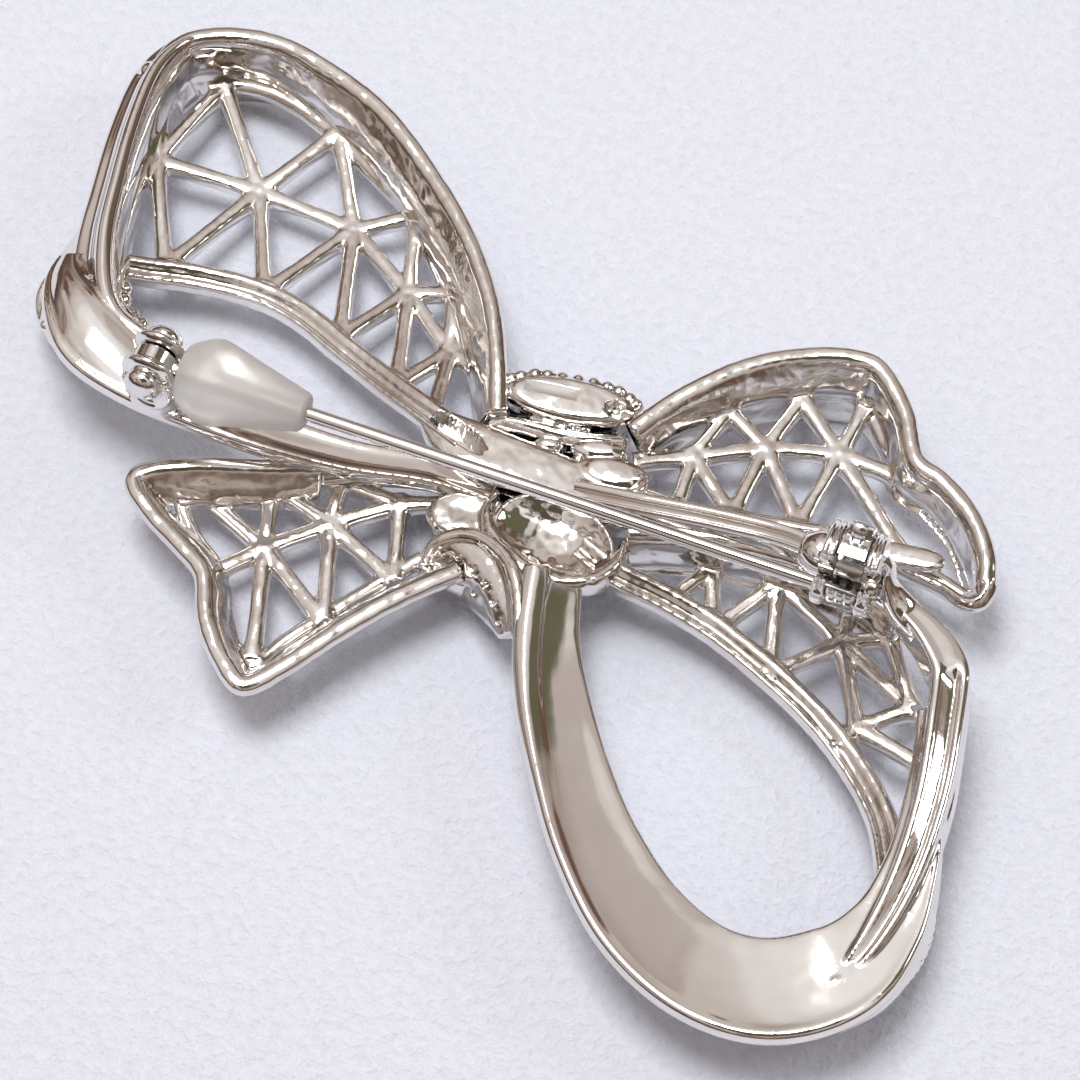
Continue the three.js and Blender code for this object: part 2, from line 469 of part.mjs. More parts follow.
const setting = [
  ["knot_core", knotCore], ["catch_body", catchBody], ["hinge_bracket", hingeBracket], ["bridge_bar", bridgeBar],
  ["fold_a_tube", foldATube], ["fold_b_tube", foldBTube], ["loop_a_band", loopABand], ["loop_b_band", loopBBand],
  ["loop_a_wall", loopAWall], ["loop_b_wall", loopBWall], ["tail_c_wall", tailCWall], ["tail_d_wall", tailDWall],
  ["knot_wrap", knotWrap], ["knot_dish", dish], ["fold_a_strip", foldAStrip], ["fold_b_strip", foldBStrip],
  ["loop_a_gallery", loopAGallery], ["loop_b_gallery", loopBGallery],
  ["tail_c_gallery", tailCGallery], ["tail_d_gallery", tailDGallery],
];
for (const [name, body] of stones) {
  show(name, seat(body), crystal());
}
for (const [name, body] of setting) {
  show(name, seat(body), metal());
}
show("hinge_rivet", rivet, steel());
show("pin_stem", pinStem, steel());
show("pin_guard", guard, frosted());
show("catch_drum", catchDrum, steel());

export default group;
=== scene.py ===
# Looks for the openwork bow brooch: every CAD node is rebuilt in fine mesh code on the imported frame.
import math

import bmesh
import bpy
from mathutils import Matrix, Vector, noise


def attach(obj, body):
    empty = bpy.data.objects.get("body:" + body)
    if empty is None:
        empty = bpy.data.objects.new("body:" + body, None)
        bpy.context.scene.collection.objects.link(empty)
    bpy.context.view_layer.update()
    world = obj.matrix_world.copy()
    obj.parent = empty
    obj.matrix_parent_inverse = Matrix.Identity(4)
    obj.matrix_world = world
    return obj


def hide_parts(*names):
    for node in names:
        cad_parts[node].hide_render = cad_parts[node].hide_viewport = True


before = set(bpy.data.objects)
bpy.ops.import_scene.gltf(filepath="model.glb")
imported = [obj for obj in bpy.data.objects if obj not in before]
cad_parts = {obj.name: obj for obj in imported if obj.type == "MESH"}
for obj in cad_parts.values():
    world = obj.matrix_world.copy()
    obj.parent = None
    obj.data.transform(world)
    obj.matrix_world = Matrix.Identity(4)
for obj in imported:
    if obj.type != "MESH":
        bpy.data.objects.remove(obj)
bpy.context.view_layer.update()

# Shapes are drawn in millimetres with the pin along X at y = 0, then moved onto the row frame.
SHIFT = Vector((2.08, -0.63, 0.04))
MILLIMETRE = 0.001
UP = Vector((0, 0, 1))
ACROSS = Vector((1, 0, 0))
TOWARDS_CAMERA = Vector((0, -1, 0))

# Pin, hinge and guard
PIN_Z = 8.8
PIN_R = 0.375
PIN_TIP_X = 17.3
HINGE_X = -20.0
EYE_R = 1.15
EYE_HALF = 0.42
EAR_R = 1.45
EAR_IN = 0.47
EAR_OUT = 1.05
RIM_DROP = 0.75
RIM_HALF = 1.22
RIM_HEIGHT = 1.75
RIM_PROUD = 0.16
RIM_STEPS = 12
RIM_START = 165
RIM_ARC = 210
RIVET_R = 0.5
BORE_R = PIN_R + 0.02

# Catch: WINDOW is the drum's opening in degrees about its axis, from +Y towards +Z.
CATCH_Y = 1.25
CATCH_Z = 9.35
FLANGE_R = 1.95
FLANGE_A = (14.7, 15.4)
FLANGE_B = (16.9, 17.6)
DRUM_X = (15.48, 16.82)
DRUM_MIDDLE = (DRUM_X[0] + DRUM_X[1]) / 2
DRUM_IN = 1.79
DRUM_SHELL = 1.9
DRUM_OUT = 2.05
AXLE_R = 0.8
WINDOW = (107, 167)
STUD_ROWS = 18
STUD_RINGS = (-0.42, 0, 0.42)
STUD_REACH = 1.97
STUD_MARGIN = 7
STUD_SIZE = (0.32, 0.22, 0.38, 1)
LEVER_LEAN = math.radians(70)

# Remeshed skins: voxel sizes, smoothing passes, heights of the slow waves, and a soft casting's crease angle
OPENWORK_VOXEL = 0.08
CAST_VOXEL = 0.07
FITTING_VOXEL = 0.06
OPENWORK_BLUR = 6
OPENWORK_LUMPS = 0.025
KNOT_LUMPS = 0.03
DISH_LUMPS = 0.06
SOFT_CREASE = 80

# The room that the metal reflects: directions of its doorway and its olive corner, and its colours
DOORWAY = Vector((0.17, 0.62, 0.76)).normalized()
CORNER = Vector((0.46, 0.40, 0.79)).normalized()
ROOM_LIGHT = 1.4
WALL_BROWN = (0.11, 0.065, 0.045)
DOOR_BROWN = (0.20, 0.145, 0.12)
DARK_CLOTHES = (0.075, 0.065, 0.045)
OLIVE = (0.10, 0.095, 0.06)

# Camera and floor, in metres
AZIMUTH = math.radians(20.8)
ELEVATION = math.radians(62)
DISTANCE = 0.18
AIM = Vector((0.002712, -0.000775, 0.00404))
FOCAL_LENGTH = 120
SENSOR_WIDTH = 36
NEAR = 0.01
FAR = 10
FLOOR_SIZE = 1.6
FLOOR_DROP = 0.0001


# ---- lines and bodies ----------------------------------------------------------------
def new():
    return bmesh.new()


def smooth(stations, per):
    """A smooth line through a few stations; a station may carry more numbers than x, y, z."""
    last = len(stations) - 1

    def at(i):
        return stations[max(0, min(last, i))]

    line = []
    for i in range(last):
        for k in range(per):
            t = k / per
            line.append([0.5 * (2 * b + (c - a) * t + (2 * a - 5 * b + 4 * c - d) * t * t
                                + (3 * b - a - 3 * c + d) * t ** 3)
                         for a, b, c, d in zip(at(i - 1), at(i), at(i + 1), at(i + 2))])
    line.append(list(stations[-1]))
    return line


def rounded(outline, times=2, keep=0.25):
    """The outline with its corners cut, more finely each time."""
    for _ in range(times):
        cut = []
        for i, (x, y) in enumerate(outline):
            u, v = outline[(i + 1) % len(outline)]
            cut.append((x + (u - x) * keep, y + (v - y) * keep))
            cut.append((u + (x - u) * keep, v + (y - v) * keep))
        outline = cut
    return outline


def sweep(bm, line, section, up=UP):
    """Carries section(station), a list of (side, height), along a line; side is to the right of travel."""
    rings = []
    last = len(line) - 1
    for i, station in enumerate(line):
        along = Vector(line[min(last, i + 1)][:3]) - Vector(line[max(0, i - 1)][:3])
        side = along.cross(up).normalized()
        rise = side.cross(along).normalized()
        centre = Vector(station[:3])
        rings.append([bm.verts.new(centre + side * s + rise * h) for s, h in section(station)])
    size = len(rings[0])
    for here, there in zip(rings, rings[1:]):
        for k in range(size):
            m = (k + 1) % size
            bm.faces.new((here[k], there[k], there[m], here[m]))
    bm.faces.new(rings[0])
    bm.faces.new(list(reversed(rings[-1])))


def turned(bm, profile, sides, place):
    """A body turned about a line; profile is a list of (along, radius)."""
    rings = []
    for along, radius in profile:
        count = 1 if radius == 0 else sides
        turns = [2 * math.pi * k / sides for k in range(count)]
        rings.append([bm.verts.new(place(along, radius * math.cos(t), radius * math.sin(t))) for t in turns])
    for a, b in zip(rings, rings[1:]):
        for k in range(sides):
            m = (k + 1) % sides
            if len(a) == 1 and len(b) > 1:
                bm.faces.new((a[0], b[k], b[m]))
            elif len(b) == 1 and len(a) > 1:
                bm.faces.new((a[k], b[0], a[m]))
            elif len(a) > 1:
                bm.faces.new((a[k], b[k], b[m], a[m]))


def along_x(y, z):
    return lambda a, u, v: Vector((a, y + u, z + v))


def along_y(x, z):
    return lambda a, u, v: Vector((x + v, a, z + u))


def along_z(x, y, a=1, b=1, turn=0):
    """Round, or oval with half-lengths a and b and turned by some degrees."""
    c, s = math.cos(math.radians(turn)), math.sin(math.radians(turn))
    return lambda z, u, v: Vector((x + a * u * c - b * v * s, y + a * u * s + b * v * c, z))


def ball(bm, centre, radius, sides=12):
    steps = sides // 2
    inner = [(-radius * math.cos(math.pi * i / steps), radius * math.sin(math.pi * i / steps))
             for i in range(1, steps)]
    turned(bm, [(-radius, 0), *inner, (radius, 0)], sides, lambda a, u, v: Vector(centre) + Vector((u, v, a)))


def block(bm, x0, x1, y0, y1, z0, z1, edge=0.12):
    """A block with soft edges along X and slightly smaller ends."""
    w, h = (y1 - y0) / 2, (z1 - z0) / 2
    middle = [(y0 + y1) / 2, (z0 + z1) / 2]
    outline = rounded([(-w, -h), (w, -h), (w, h), (-w, h)], 2, min(0.3, edge / min(w, h)))
    small = 1 - edge / w
    line = [[x0, *middle, small], [x0 + edge, *middle, 1], [x1 - edge, *middle, 1], [x1, *middle, small]]
    sweep(bm, line, lambda s: [(a * s[3], b * s[3]) for a, b in outline])


def pillow(w, h, cut=0.3):
    """A soft-cornered section of width w and height h, its top at height 0."""
    c = cut * min(w, h)
    return rounded([(w / 2 - c, 0), (w / 2, -c), (w / 2, -h + c), (w / 2 - c, -h), (-w / 2 + c, -h),
                    (-w / 2, -h + c), (-w / 2, -c), (-w / 2 + c, 0)], 1)


def bar_section(s):
    """An openwork bar of width s[3] and height s[4], softly domed on top."""
    w, h = s[3], s[4]
    return rounded([(w / 2, -h * 0.25), (w / 2, -h), (-w / 2, -h), (-w / 2, -h * 0.25), (-w * 0.34, 0),
                    (w * 0.34, 0)], 1)


def bar(bm, a, b, w=0.86, h=0.85):
    """An openwork bar, flared where it meets its nodes."""
    line = []
    for t in (0, 0.08, 0.2, 0.36, 0.5, 0.64, 0.8, 0.92, 1):
        flare = 1 + 0.5 * abs(2 * t - 1) ** 4
        line.append([p + (q - p) * t for p, q in zip(a, b)] + [w * flare, h * (0.95 + 0.1 * flare)])
    sweep(bm, line, bar_section)


def hub(bm, where):
    """A round boss where openwork bars meet."""
    x, y, z = where
    turned(bm, [(z - 0.75, 0), (z - 0.75, 0.66), (z - 0.2, 0.7), (z, 0.5), (z + 0.05, 0)], 20, along_z(x, y))


def network(bm, nodes, links, hubs):
    """Bars between named nodes, with a boss at each hub."""
    for a, b in links:
        bar(bm, nodes[a], nodes[b])
    for name in hubs:
        hub(bm, nodes[name])


def as_object(bm, name):
    mesh = bpy.data.meshes.new(name)
    bm.to_mesh(mesh)
    bm.free()
    obj = bpy.data.objects.new(name, mesh)
    bpy.context.scene.collection.objects.link(obj)
    return obj


def remove(obj):
    mesh = obj.data
    bpy.data.objects.remove(obj)
    bpy.data.meshes.remove(mesh)


def roughened(bm, height):
    """Pushes the skin in and out by slow waves, as hand polishing leaves them."""
    for vert, push in [(v, noise.noise(v.co * 0.9) + 0.5 * noise.noise(v.co * 2.3)) for v in bm.verts]:
        vert.co += vert.normal * (push * height)


def fused(bm, voxel, blur, lumps=0.0, cut=None):
    """The same shape as one skin, voxel remeshed and smoothed, so that its joints get the soft fillets of a
    casting. lumps is the height of the polishing waves; cut is a shape taken out before smoothing."""
    obj = as_object(bm, "work")
    remesh = obj.modifiers.new("skin", "REMESH")
    remesh.mode = "VOXEL"
    remesh.voxel_size = voxel
    tool = None
    if cut:
        bmesh.ops.recalc_face_normals(cut, faces=cut.faces)
        tool = as_object(cut, "tool")
        taken = obj.modifiers.new("cut", "BOOLEAN")
        taken.operation = "DIFFERENCE"
        taken.object = tool
    soften = obj.modifiers.new("soften", "SMOOTH")
    soften.factor = 0.5
    soften.iterations = blur
    skin = bpy.data.meshes.new_from_object(obj.evaluated_get(bpy.context.evaluated_depsgraph_get()))
    out = new()
    out.from_mesh(skin)
    bpy.data.meshes.remove(skin)
    remove(obj)
    if tool:
        remove(tool)
    if lumps:
        roughened(out, lumps)
    return out


def piece(name, bm, nodes, body, material, crease=40):
    """Moves a finished shape onto the row frame, and hands it to the body that it rides on."""
    bmesh.ops.recalc_face_normals(bm, faces=bm.faces)
    bm.transform(Matrix.Scale(MILLIMETRE, 4) @ Matrix.Translation(SHIFT))
    for edge in bm.edges:
        edge.smooth = not edge.is_manifold or edge.calc_face_angle(0) < math.radians(crease)
    for face in bm.faces:
        face.smooth = True
    obj = as_object(bm, name)
    obj.data.materials.append(material)
    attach(obj, body)
    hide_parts(*nodes)


def casting(name, bm, nodes, material):
    """A soft plated piece of the bow itself."""
    piece(name, bm, nodes, "bow", material, SOFT_CREASE)


def openwork(name, bm, nodes, cut=None):
    """A wall with its sills and bars, cast in one."""
    casting(name, fused(bm, OPENWORK_VOXEL, OPENWORK_BLUR, OPENWORK_LUMPS, cut), nodes, RHODIUM_BAR)


# ---- materials -----------------------------------------------------------------------
def shader(name):
    material = bpy.data.materials.new(name)
    material.use_nodes = True
    tree = material.node_tree
    tree.nodes.clear()
    out = tree.nodes.new("ShaderNodeOutputMaterial")
    bsdf = tree.nodes.new("ShaderNodeBsdfPrincipled")
    tree.links.new(bsdf.outputs["BSDF"], out.inputs["Surface"])
    place = tree.nodes.new("ShaderNodeTexCoord")
    return material, tree, bsdf, place.outputs["Object"]


def stretched(tree, source, scale):
    mapping = tree.nodes.new("ShaderNodeMapping")
    mapping.inputs["Scale"].default_value = scale
    tree.links.new(source, mapping.inputs["Vector"])
    return mapping.outputs["Vector"]


def grain(tree, source, scale, detail=3, rough=0.5):
    node = tree.nodes.new("ShaderNodeTexNoise")
    node.inputs["Scale"].default_value = scale
    node.inputs["Detail"].default_value = detail
    node.inputs["Roughness"].default_value = rough
    tree.links.new(source, node.inputs["Vector"])
    return node.outputs["Fac"]


def ramp(tree, source, stops):
    """A colour ramp; a stop is a place from 0 to 1 and a colour or a grey value."""
    node = tree.nodes.new("ShaderNodeValToRGB")
    elements = node.color_ramp.elements
    for i, (where, colour) in enumerate(stops):
        element = elements[i] if i < 2 else elements.new(where)
        element.position = where
        element.color = (*colour, 1) if isinstance(colour, tuple) else (colour, colour, colour, 1)
    tree.links.new(source, node.inputs["Fac"])
    return node.outputs["Color"]


def coloured(tree, bsdf, source, stops):
    tree.links.new(ramp(tree, source, stops), bsdf.inputs["Base Color"])


def roughness(tree, bsdf, source, stops):
    tree.links.new(ramp(tree, source, stops), bsdf.inputs["Roughness"])


def bumped(tree, bsdf, layers):
    """Bump from one or more (height, strength, distance) layers."""
    last = None
    for height, strength, distance in layers:
        node = tree.nodes.new("ShaderNodeBump")
        node.inputs["Strength"].default_value = strength
        node.inputs["Distance"].default_value = distance
        tree.links.new(height, node.inputs["Height"])
        if last:
            tree.links.new(last, node.inputs["Normal"])
        last = node.outputs["Normal"]
    tree.links.new(last, bsdf.inputs["Normal"])


def plated(name, colour, warm, wave, marks, rough=(0.04, 0.11)):
    """Rhodium plate over a polished casting: slow waves, fine polishing marks and a few duller patches."""
    material, tree, bsdf, place = shader(name)
    bsdf.inputs["Metallic"].default_value = 1
    coloured(tree, bsdf, grain(tree, place, 260, 4), [(0.3, warm), (0.65, colour)])
    roughness(tree, bsdf, grain(tree, place, 900, 5, 0.65), [(0.35, rough[0]), (0.75, rough[1])])
    slow = grain(tree, place, 230, 2)
    fine = grain(tree, stretched(tree, place, (1, 4, 2)), 2600, 3, 0.7)
    bumped(tree, bsdf, [(slow, wave, 0.0012), (fine, marks, 0.00006)])
    return material


def wire():
    """Drawn steel, its fine lines along the pin."""
    material, tree, bsdf, place = shader("pin_wire")
    bsdf.inputs["Metallic"].default_value = 1
    lines = grain(tree, stretched(tree, place, (0.02, 1, 1)), 9000, 3, 0.6)
    coloured(tree, bsdf, lines, [(0.3, (0.76, 0.73, 0.71)), (0.7, (0.86, 0.85, 0.84))])
    roughness(tree, bsdf, lines, [(0.3, 0.05), (0.8, 0.12)])
    bumped(tree, bsdf, [(lines, 0.05, 0.00004)])
    return material


def frosted():
    """Milky plastic with a fine matt surface."""
    material, tree, bsdf, place = shader("frosted_plastic")
    bsdf.inputs["IOR"].default_value = 1.45
    bsdf.inputs["Transmission Weight"].default_value = 0.7
    bsdf.inputs["Subsurface Weight"].default_value = 0.35
    bsdf.inputs["Subsurface Radius"].default_value = (1.0, 0.9, 0.85)
    bsdf.inputs["Subsurface Scale"].default_value = 0.002
    cloudy = grain(tree, place, 500, 4)
    coloured(tree, bsdf, cloudy, [(0.3, (0.92, 0.89, 0.87)), (0.7, (0.96, 0.94, 0.93))])
    roughness(tree, bsdf, cloudy, [(0.3, 0.4), (0.7, 0.46)])
    bumped(tree, bsdf, [(grain(tree, place, 9000, 3, 0.7), 0.1, 0.00002)])
    return material


def cut_glass():
    material, tree, bsdf, place = shader("crystal")
    bsdf.inputs["IOR"].default_value = 1.6
    bsdf.inputs["Transmission Weight"].default_value = 0.85
    coloured(tree, bsdf, grain(tree, place, 700, 3), [(0.3, (0.9, 0.93, 0.97)), (0.7, (0.98, 0.98, 1.0))])
    roughness(tree, bsdf, grain(tree, place, 3000, 3), [(0.4, 0.01), (0.8, 0.05)])
    return material


def pale_cloth():
    material, tree, bsdf, place = shader("pale_cloth")
    bsdf.inputs["Roughness"].default_value = 0.9
    weave = grain(tree, place, 1700, 5, 0.6)
    coloured(tree, bsdf, weave, [(0.3, (0.76, 0.795, 0.905)), (0.7, (0.83, 0.87, 0.985))])
    bumped(tree, bsdf, [(weave, 0.7, 0.0006)])
    return material


RHODIUM = plated("rhodium_plate", (0.87, 0.85, 0.83), (0.80, 0.765, 0.735), wave=0.04, marks=0.02)
RHODIUM_BAR = plated("rhodium_openwork", (0.86, 0.84, 0.82), (0.70, 0.65, 0.61), wave=0.15, marks=0.08,
                     rough=(0.05, 0.15))
RHODIUM_CAST = plated("rhodium_knot", (0.85, 0.83, 0.81), (0.74, 0.70, 0.66), wave=0.05, marks=0.04,
                      rough=(0.05, 0.13))
DRUM_METAL = plated("rhodium_drum", (0.80, 0.79, 0.78), (0.55, 0.52, 0.50), wave=0.1, marks=0.2,
                    rough=(0.08, 0.2))
WIRE = wire()
FROSTED = frosted()
CRYSTAL = cut_glass()


# ---- sections ------------------------------------------------------------------------
def wall(drop, under=0.6):
    """A wall of depth s[3]: a rounded rim, an outer side that draws in below it, and an inner face that
    slopes down by drop to the openwork, s[4] away."""
    def section(s):
        foot, reach = -max(s[3], drop + 0.9), s[4]
        return rounded([
            (under + 0.5, foot), (under, foot), (under * 0.3 - 0.3, foot * 0.55), (-0.5, -0.75),
            (-0.54, -0.4), (-0.4, -0.03), (0.0, 0.06), (0.35, -0.03), (0.62, -0.4),
            (reach * 0.74, -drop * 0.55), (reach, -drop), (reach, -drop - 0.6),
            (reach * 0.7, -drop - 0.7)])
    return section


def band_section(s):
    """A ribbon of width s[3] with an outer rim of width s[6] and a thin inner edge; its face falls by s[4]
    to the inner edge and is hollow by s[5]."""
    w, fall, hollow, rim = s[3] / 2, s[4], s[5], s[6]
    return rounded([
        (w - 0.55, -1.5), (w - 1.1, -1.9), (-w + 0.9, -fall - 1.6), (-w + 0.2, -fall - 1.1),
        (-w, -fall - 0.45), (-w + 0.08, -fall - 0.06), (-w + 0.34, -fall - 0.02),
        (-w * 0.4, -fall * 0.72 - hollow), (w * 0.25, -fall * 0.35 - hollow),
        (w - rim - 0.1, -fall * 0.1 - hollow * 0.5), (w - rim * 0.75, 0.02), (w - rim * 0.4, 0.08),
        (w - 0.1, -0.1), (w + 0.03, -0.5), (w - 0.12, -1.0)])


def fold_section(s):
    """A fold of scale s[3] and depth s[4]: inner slope, ridge and hollow outer slope."""
    k, deep = s[3], s[4]
    points = [(-1.15, -deep), (-1.1, -1.7), (-0.85, -0.85), (-0.55, -0.15), (-0.25, 0.12), (0.15, 0.1),
              (0.38, -0.2), (0.52, -0.75), (0.8, -1.05), (1.15, -1.12), (1.5, -1.3), (1.68, -1.8),
              (1.45, -deep)]
    return rounded([(a * k, b * k if b != -deep else b) for a, b in points])


def ribbon_section(s):
    """A ribbon of width s[3] and depth s[4] with a groove of depth s[5] along its middle."""
    w, deep, groove = s[3] / 2, s[4], s[5]
    return rounded([
        (w, -0.3), (w * 0.9, -deep), (-w * 0.9, -deep), (-w, -0.3), (-w * 0.88, -0.02), (-w * 0.5, 0.0),
        (-w * 0.3, -groove * 1.1), (-w * 0.15, -groove), (w * 0.42, -groove * 0.15), (w * 0.55, 0.06),
        (w * 0.9, 0.0)])


def steady(points):
    """The same section all along a line."""
    outline = rounded(points)
    return lambda s: outline


# The bar round a loop's eye: two ridges with a shallow groove between them.
EYE_BAR = steady([
    (0.8, -0.3), (0.75, -1.3), (-0.75, -1.3), (-0.82, -0.4), (-0.5, 0.0), (-0.15, -0.04), (0.1, -0.3),
    (0.35, -0.3), (0.58, -0.04)])

# The bridge bar: two ridges with a deep groove between them.
BRIDGE_BAR = steady([
    (0.68, -0.4), (0.6, -1.6), (-0.55, -1.6), (-0.68, -0.45), (-0.52, 0.0), (-0.12, -0.05),
    (0.06, -0.45), (0.24, -0.45), (0.36, 0.0), (0.55, 0.0)])

# The strip under fold A that carries its stones.
STRIP_A = steady([
    (0.5, -0.5), (0.62, 0.0), (0.4, 0.4), (-0.2, 0.9), (-1.0, 2.4), (-1.2, -0.5)])

# The strip under fold B that carries its stones.
STRIP_B = steady([
    (-0.3, -1.25), (-0.5, -0.2), (-0.35, 0.2), (0.3, 1.0), (0.9, 2.2), (1.5, 2.6), (1.6, -1.25)])

# The strap over the knot's front: thin, domed and 7.2 wide.
STRAP = steady([
    (0.1, -3.6), (-0.28, -2.4), (-0.35, 0), (-0.28, 2.4), (0.1, 3.6), (0.7, 3.2), (0.45, 0), (0.7, -3.2)])


def post_section(s):
    """A post of half-width s[3], thinner where it is narrow."""
    w, deep = s[3], min(1.0, s[3] + 0.4)
    return rounded([(-w, -deep), (w, -deep), (w, -0.1), (w * 0.4, 0.12), (-w * 0.4, 0.12), (-w, -0.1)])


def flank_rim_section(s):
    """The thick rim of the knot's flank, of scale s[3]."""
    k = s[3]
    return rounded([(0.44 * k, 0), (0.52 * k, -1.4 * k), (-0.52 * k, -1.4 * k), (-0.44 * k, 0)])


def flank_plate_section(s):
    """The plate that drops from the flank's rim, of scale s[3]."""
    k = s[3]
    return rounded([(-0.3, -0.1), (0.4, -0.1), (1.0 * k, -0.45), (1.5 * k, -1.1 * k), (1.85 * k, -2.0 * k),
                    (1.5 * k, -2.7 * k), (-0.3, -2.4 * k)])


def core_section(s):
    """The block across the knot, of scale s[3]."""
    k = s[3]
    return rounded([(1.3 * k, -2.2), (-1.3 * k, -2.4), (-1.5 * k, -0.6), (-1.2 * k, -0.02), (0, 0.02),
                    (1.3 * k, 0.02), (1.5 * k, -0.5)])


def dish_rim_section(s):
    """The rim of the dish, of scale s[3]."""
    k = s[3]
    return rounded([(0.4 * k, 0), (0.45 * k, -1.7), (-0.45 * k, -1.7), (-0.4 * k, -0.1)])


def rim_slot():
    """The open slot where the eye bar of loop A meets the knot."""
    cutter = new()
    line = [[-7.1, 4.7, 5.2, 0.2], [-6.4, 4.5, 5.2, 0.5], [-5.2, 4.1, 5.2, 0.55], [-4.3, 3.7, 5.2, 0.45],
            [-3.8, 3.5, 5.2, 0.2]]
    sweep(cutter, smooth(line, 4), lambda s: [(s[3], 0.8), (s[3], -3.0), (-s[3], -3.0), (-s[3], 0.8)])
    return cutter


# ---- loop A, upper left --------------------------------------------------------------
def loop_a_frame(shape):
    """The wall, the bar round the eye, and the sill that the openwork meets."""
    rim = [
        [-28.6, 19.0, 4.9, 4.6, 0.4], [-27.9, 20.8, 5.15, 5.0, 0.45], [-26.2, 22.0, 5.2, 5.2, 0.65],
        [-23.8, 22.6, 5.2, 5.0, 0.9], [-21.4, 22.4, 5.2, 4.6, 1.2], [-16.7, 20.8, 5.2, 4.0, 1.6],
        [-12.6, 18.0, 5.1, 3.6, 1.75], [-8.8, 14.5, 5.0, 3.4, 1.75], [-6.0, 10.6, 4.9, 3.3, 1.6],
        [-3.9, 5.8, 4.6, 3.0, 1.3],
    ]
    eye = [
        [-27.0, 7.4, 3.9], [-24.7, 8.0, 3.4], [-21.9, 8.8, 3.0], [-18.8, 9.1, 2.9], [-16.0, 8.6, 3.0],
        [-13.2, 7.4, 3.2], [-10.0, 6.0, 3.6], [-7.6, 5.0, 4.0], [-5.0, 3.9, 4.4],
    ]
    sill = [
        [-26.3, 20.2, 2.65], [-24.8, 21.1, 2.6], [-22.2, 21.1, 2.6], [-19.3, 20.2, 2.5], [-15.7, 18.3, 2.5],
        [-12.9, 16.6, 2.5], [-9.2, 12.6, 2.6], [-6.7, 9.3, 2.7], [-5.2, 6.8, 2.9],
    ]
    sweep(shape, smooth(rim, 14), wall(2.3))
    sweep(shape, smooth(eye, 10), EYE_BAR)
    sweep(shape, smooth(sill, 8), lambda s: pillow(0.95, 1.0))


def loop_a_bars(shape):
    nodes = {
        "h1": (-21.2, 15.2, 2.3), "h2": (-15.6, 14.8, 2.2), "h3": (-11.4, 12.1, 2.3), "h4": (-8.0, 9.4, 2.5),
        "r1": (-25.6, 20.7, 2.6), "r2": (-18.6, 20.1, 2.6), "r3": (-12.7, 16.6, 2.6), "r4": (-9.1, 12.8, 2.6),
        "r5": (-6.5, 8.9, 2.7), "left": (-27.0, 14.8, 2.8), "edge": (-27.7, 9.6, 3.1),
        "up": (-28.1, 18.0, 3.0), "l1": (-23.8, 8.7, 2.9), "l2": (-18.4, 9.2, 2.7), "l3": (-13.6, 8.0, 2.9),
        "l4": (-9.7, 6.2, 3.3), "l5": (-7.2, 5.0, 3.7),
    }
    links = [
        ("h1", "r1"), ("h1", "r2"), ("h1", "left"), ("h1", "l1"), ("h1", "l2"), ("h1", "h2"),
        ("h2", "r2"), ("h2", "r3"), ("h2", "l2"), ("h2", "l3"), ("h2", "h3"),
        ("h3", "r3"), ("h3", "r4"), ("h3", "l3"), ("h3", "l4"), ("h3", "h4"),
        ("h4", "r4"), ("h4", "r5"), ("h4", "l4"), ("h4", "l5"),
        ("left", "r1"), ("left", "l1"), ("left", "edge"), ("left", "up"),
    ]
    network(shape, nodes, links, ("h1", "h2", "h3", "h4", "r1"))


def loop_a_openwork():
    shape = new()
    loop_a_frame(shape)
    loop_a_bars(shape)
    openwork("loop_a_openwork", shape, ["loop_a_wall", "loop_a_gallery"], rim_slot())


def loop_a_sheets(shape):
    """A fold with a ridge and a hollow, and a band that leaves its foot as a dome and runs under the pin."""
    fold = [
        [-26.2, 21.95, 4.9, 0.3, 3.4], [-27.6, 21.0, 5.25, 0.5, 3.8], [-28.25, 19.4, 5.6, 0.7, 4.0],
        [-28.35, 17.4, 5.85, 0.8, 4.2], [-27.95, 14.2, 6.05, 0.86, 4.2], [-27.3, 10.9, 6.1, 0.92, 4.2],
        [-26.7, 8.2, 6.1, 1.0, 4.0], [-25.9, 6.0, 6.05, 1.1, 3.6], [-25.0, 4.4, 6.0, 1.1, 3.2],
        [-23.9, 3.5, 5.9, 0.9, 2.6], [-22.4, 3.0, 5.8, 0.7, 2.2], [-20.4, 2.7, 5.6, 0.55, 1.8],
        [-18.0, 2.2, 5.3, 0.4, 1.4],
    ]
    band = [
        [-27.9, 6.4, 5.0, 1.4, 0, -0.2, 0.3], [-27.3, 4.9, 5.3, 2.8, 0, -0.5, 0.6],
        [-26.1, 3.5, 5.6, 3.9, 0, -0.6, 0.8], [-24.3, 2.1, 5.7, 4.5, 0.05, -0.5, 0.8],
        [-21.6, 1.1, 5.5, 3.9, 0.1, -0.3, 0.8], [-18.4, 0.6, 5.2, 3.1, 0.15, 0, 0.7],
        [-14.4, 0.5, 4.8, 2.6, 0.2, 0.15, 0.6], [-10.2, 0.9, 4.3, 2.2, 0.2, 0.15, 0.5],
        [-6.0, 1.8, 3.9, 1.9, 0.2, 0.1, 0.45], [-2.6, 2.0, 3.4, 1.6, 0.1, 0.1, 0.35],
    ]
    strip = [
        [-28.6, 10.8, 1.5], [-29.0, 8.4, 1.7], [-29.0, 6.2, 1.9], [-28.6, 4.6, 2.3], [-27.7, 3.2, 2.8],
        [-26.4, 2.1, 3.3], [-24.8, 1.3, 3.8],
    ]
    sweep(shape, smooth(fold, 12), fold_section)
    sweep(shape, smooth(band, 12), band_section)
    sweep(shape, smooth(strip, 8), STRIP_A)


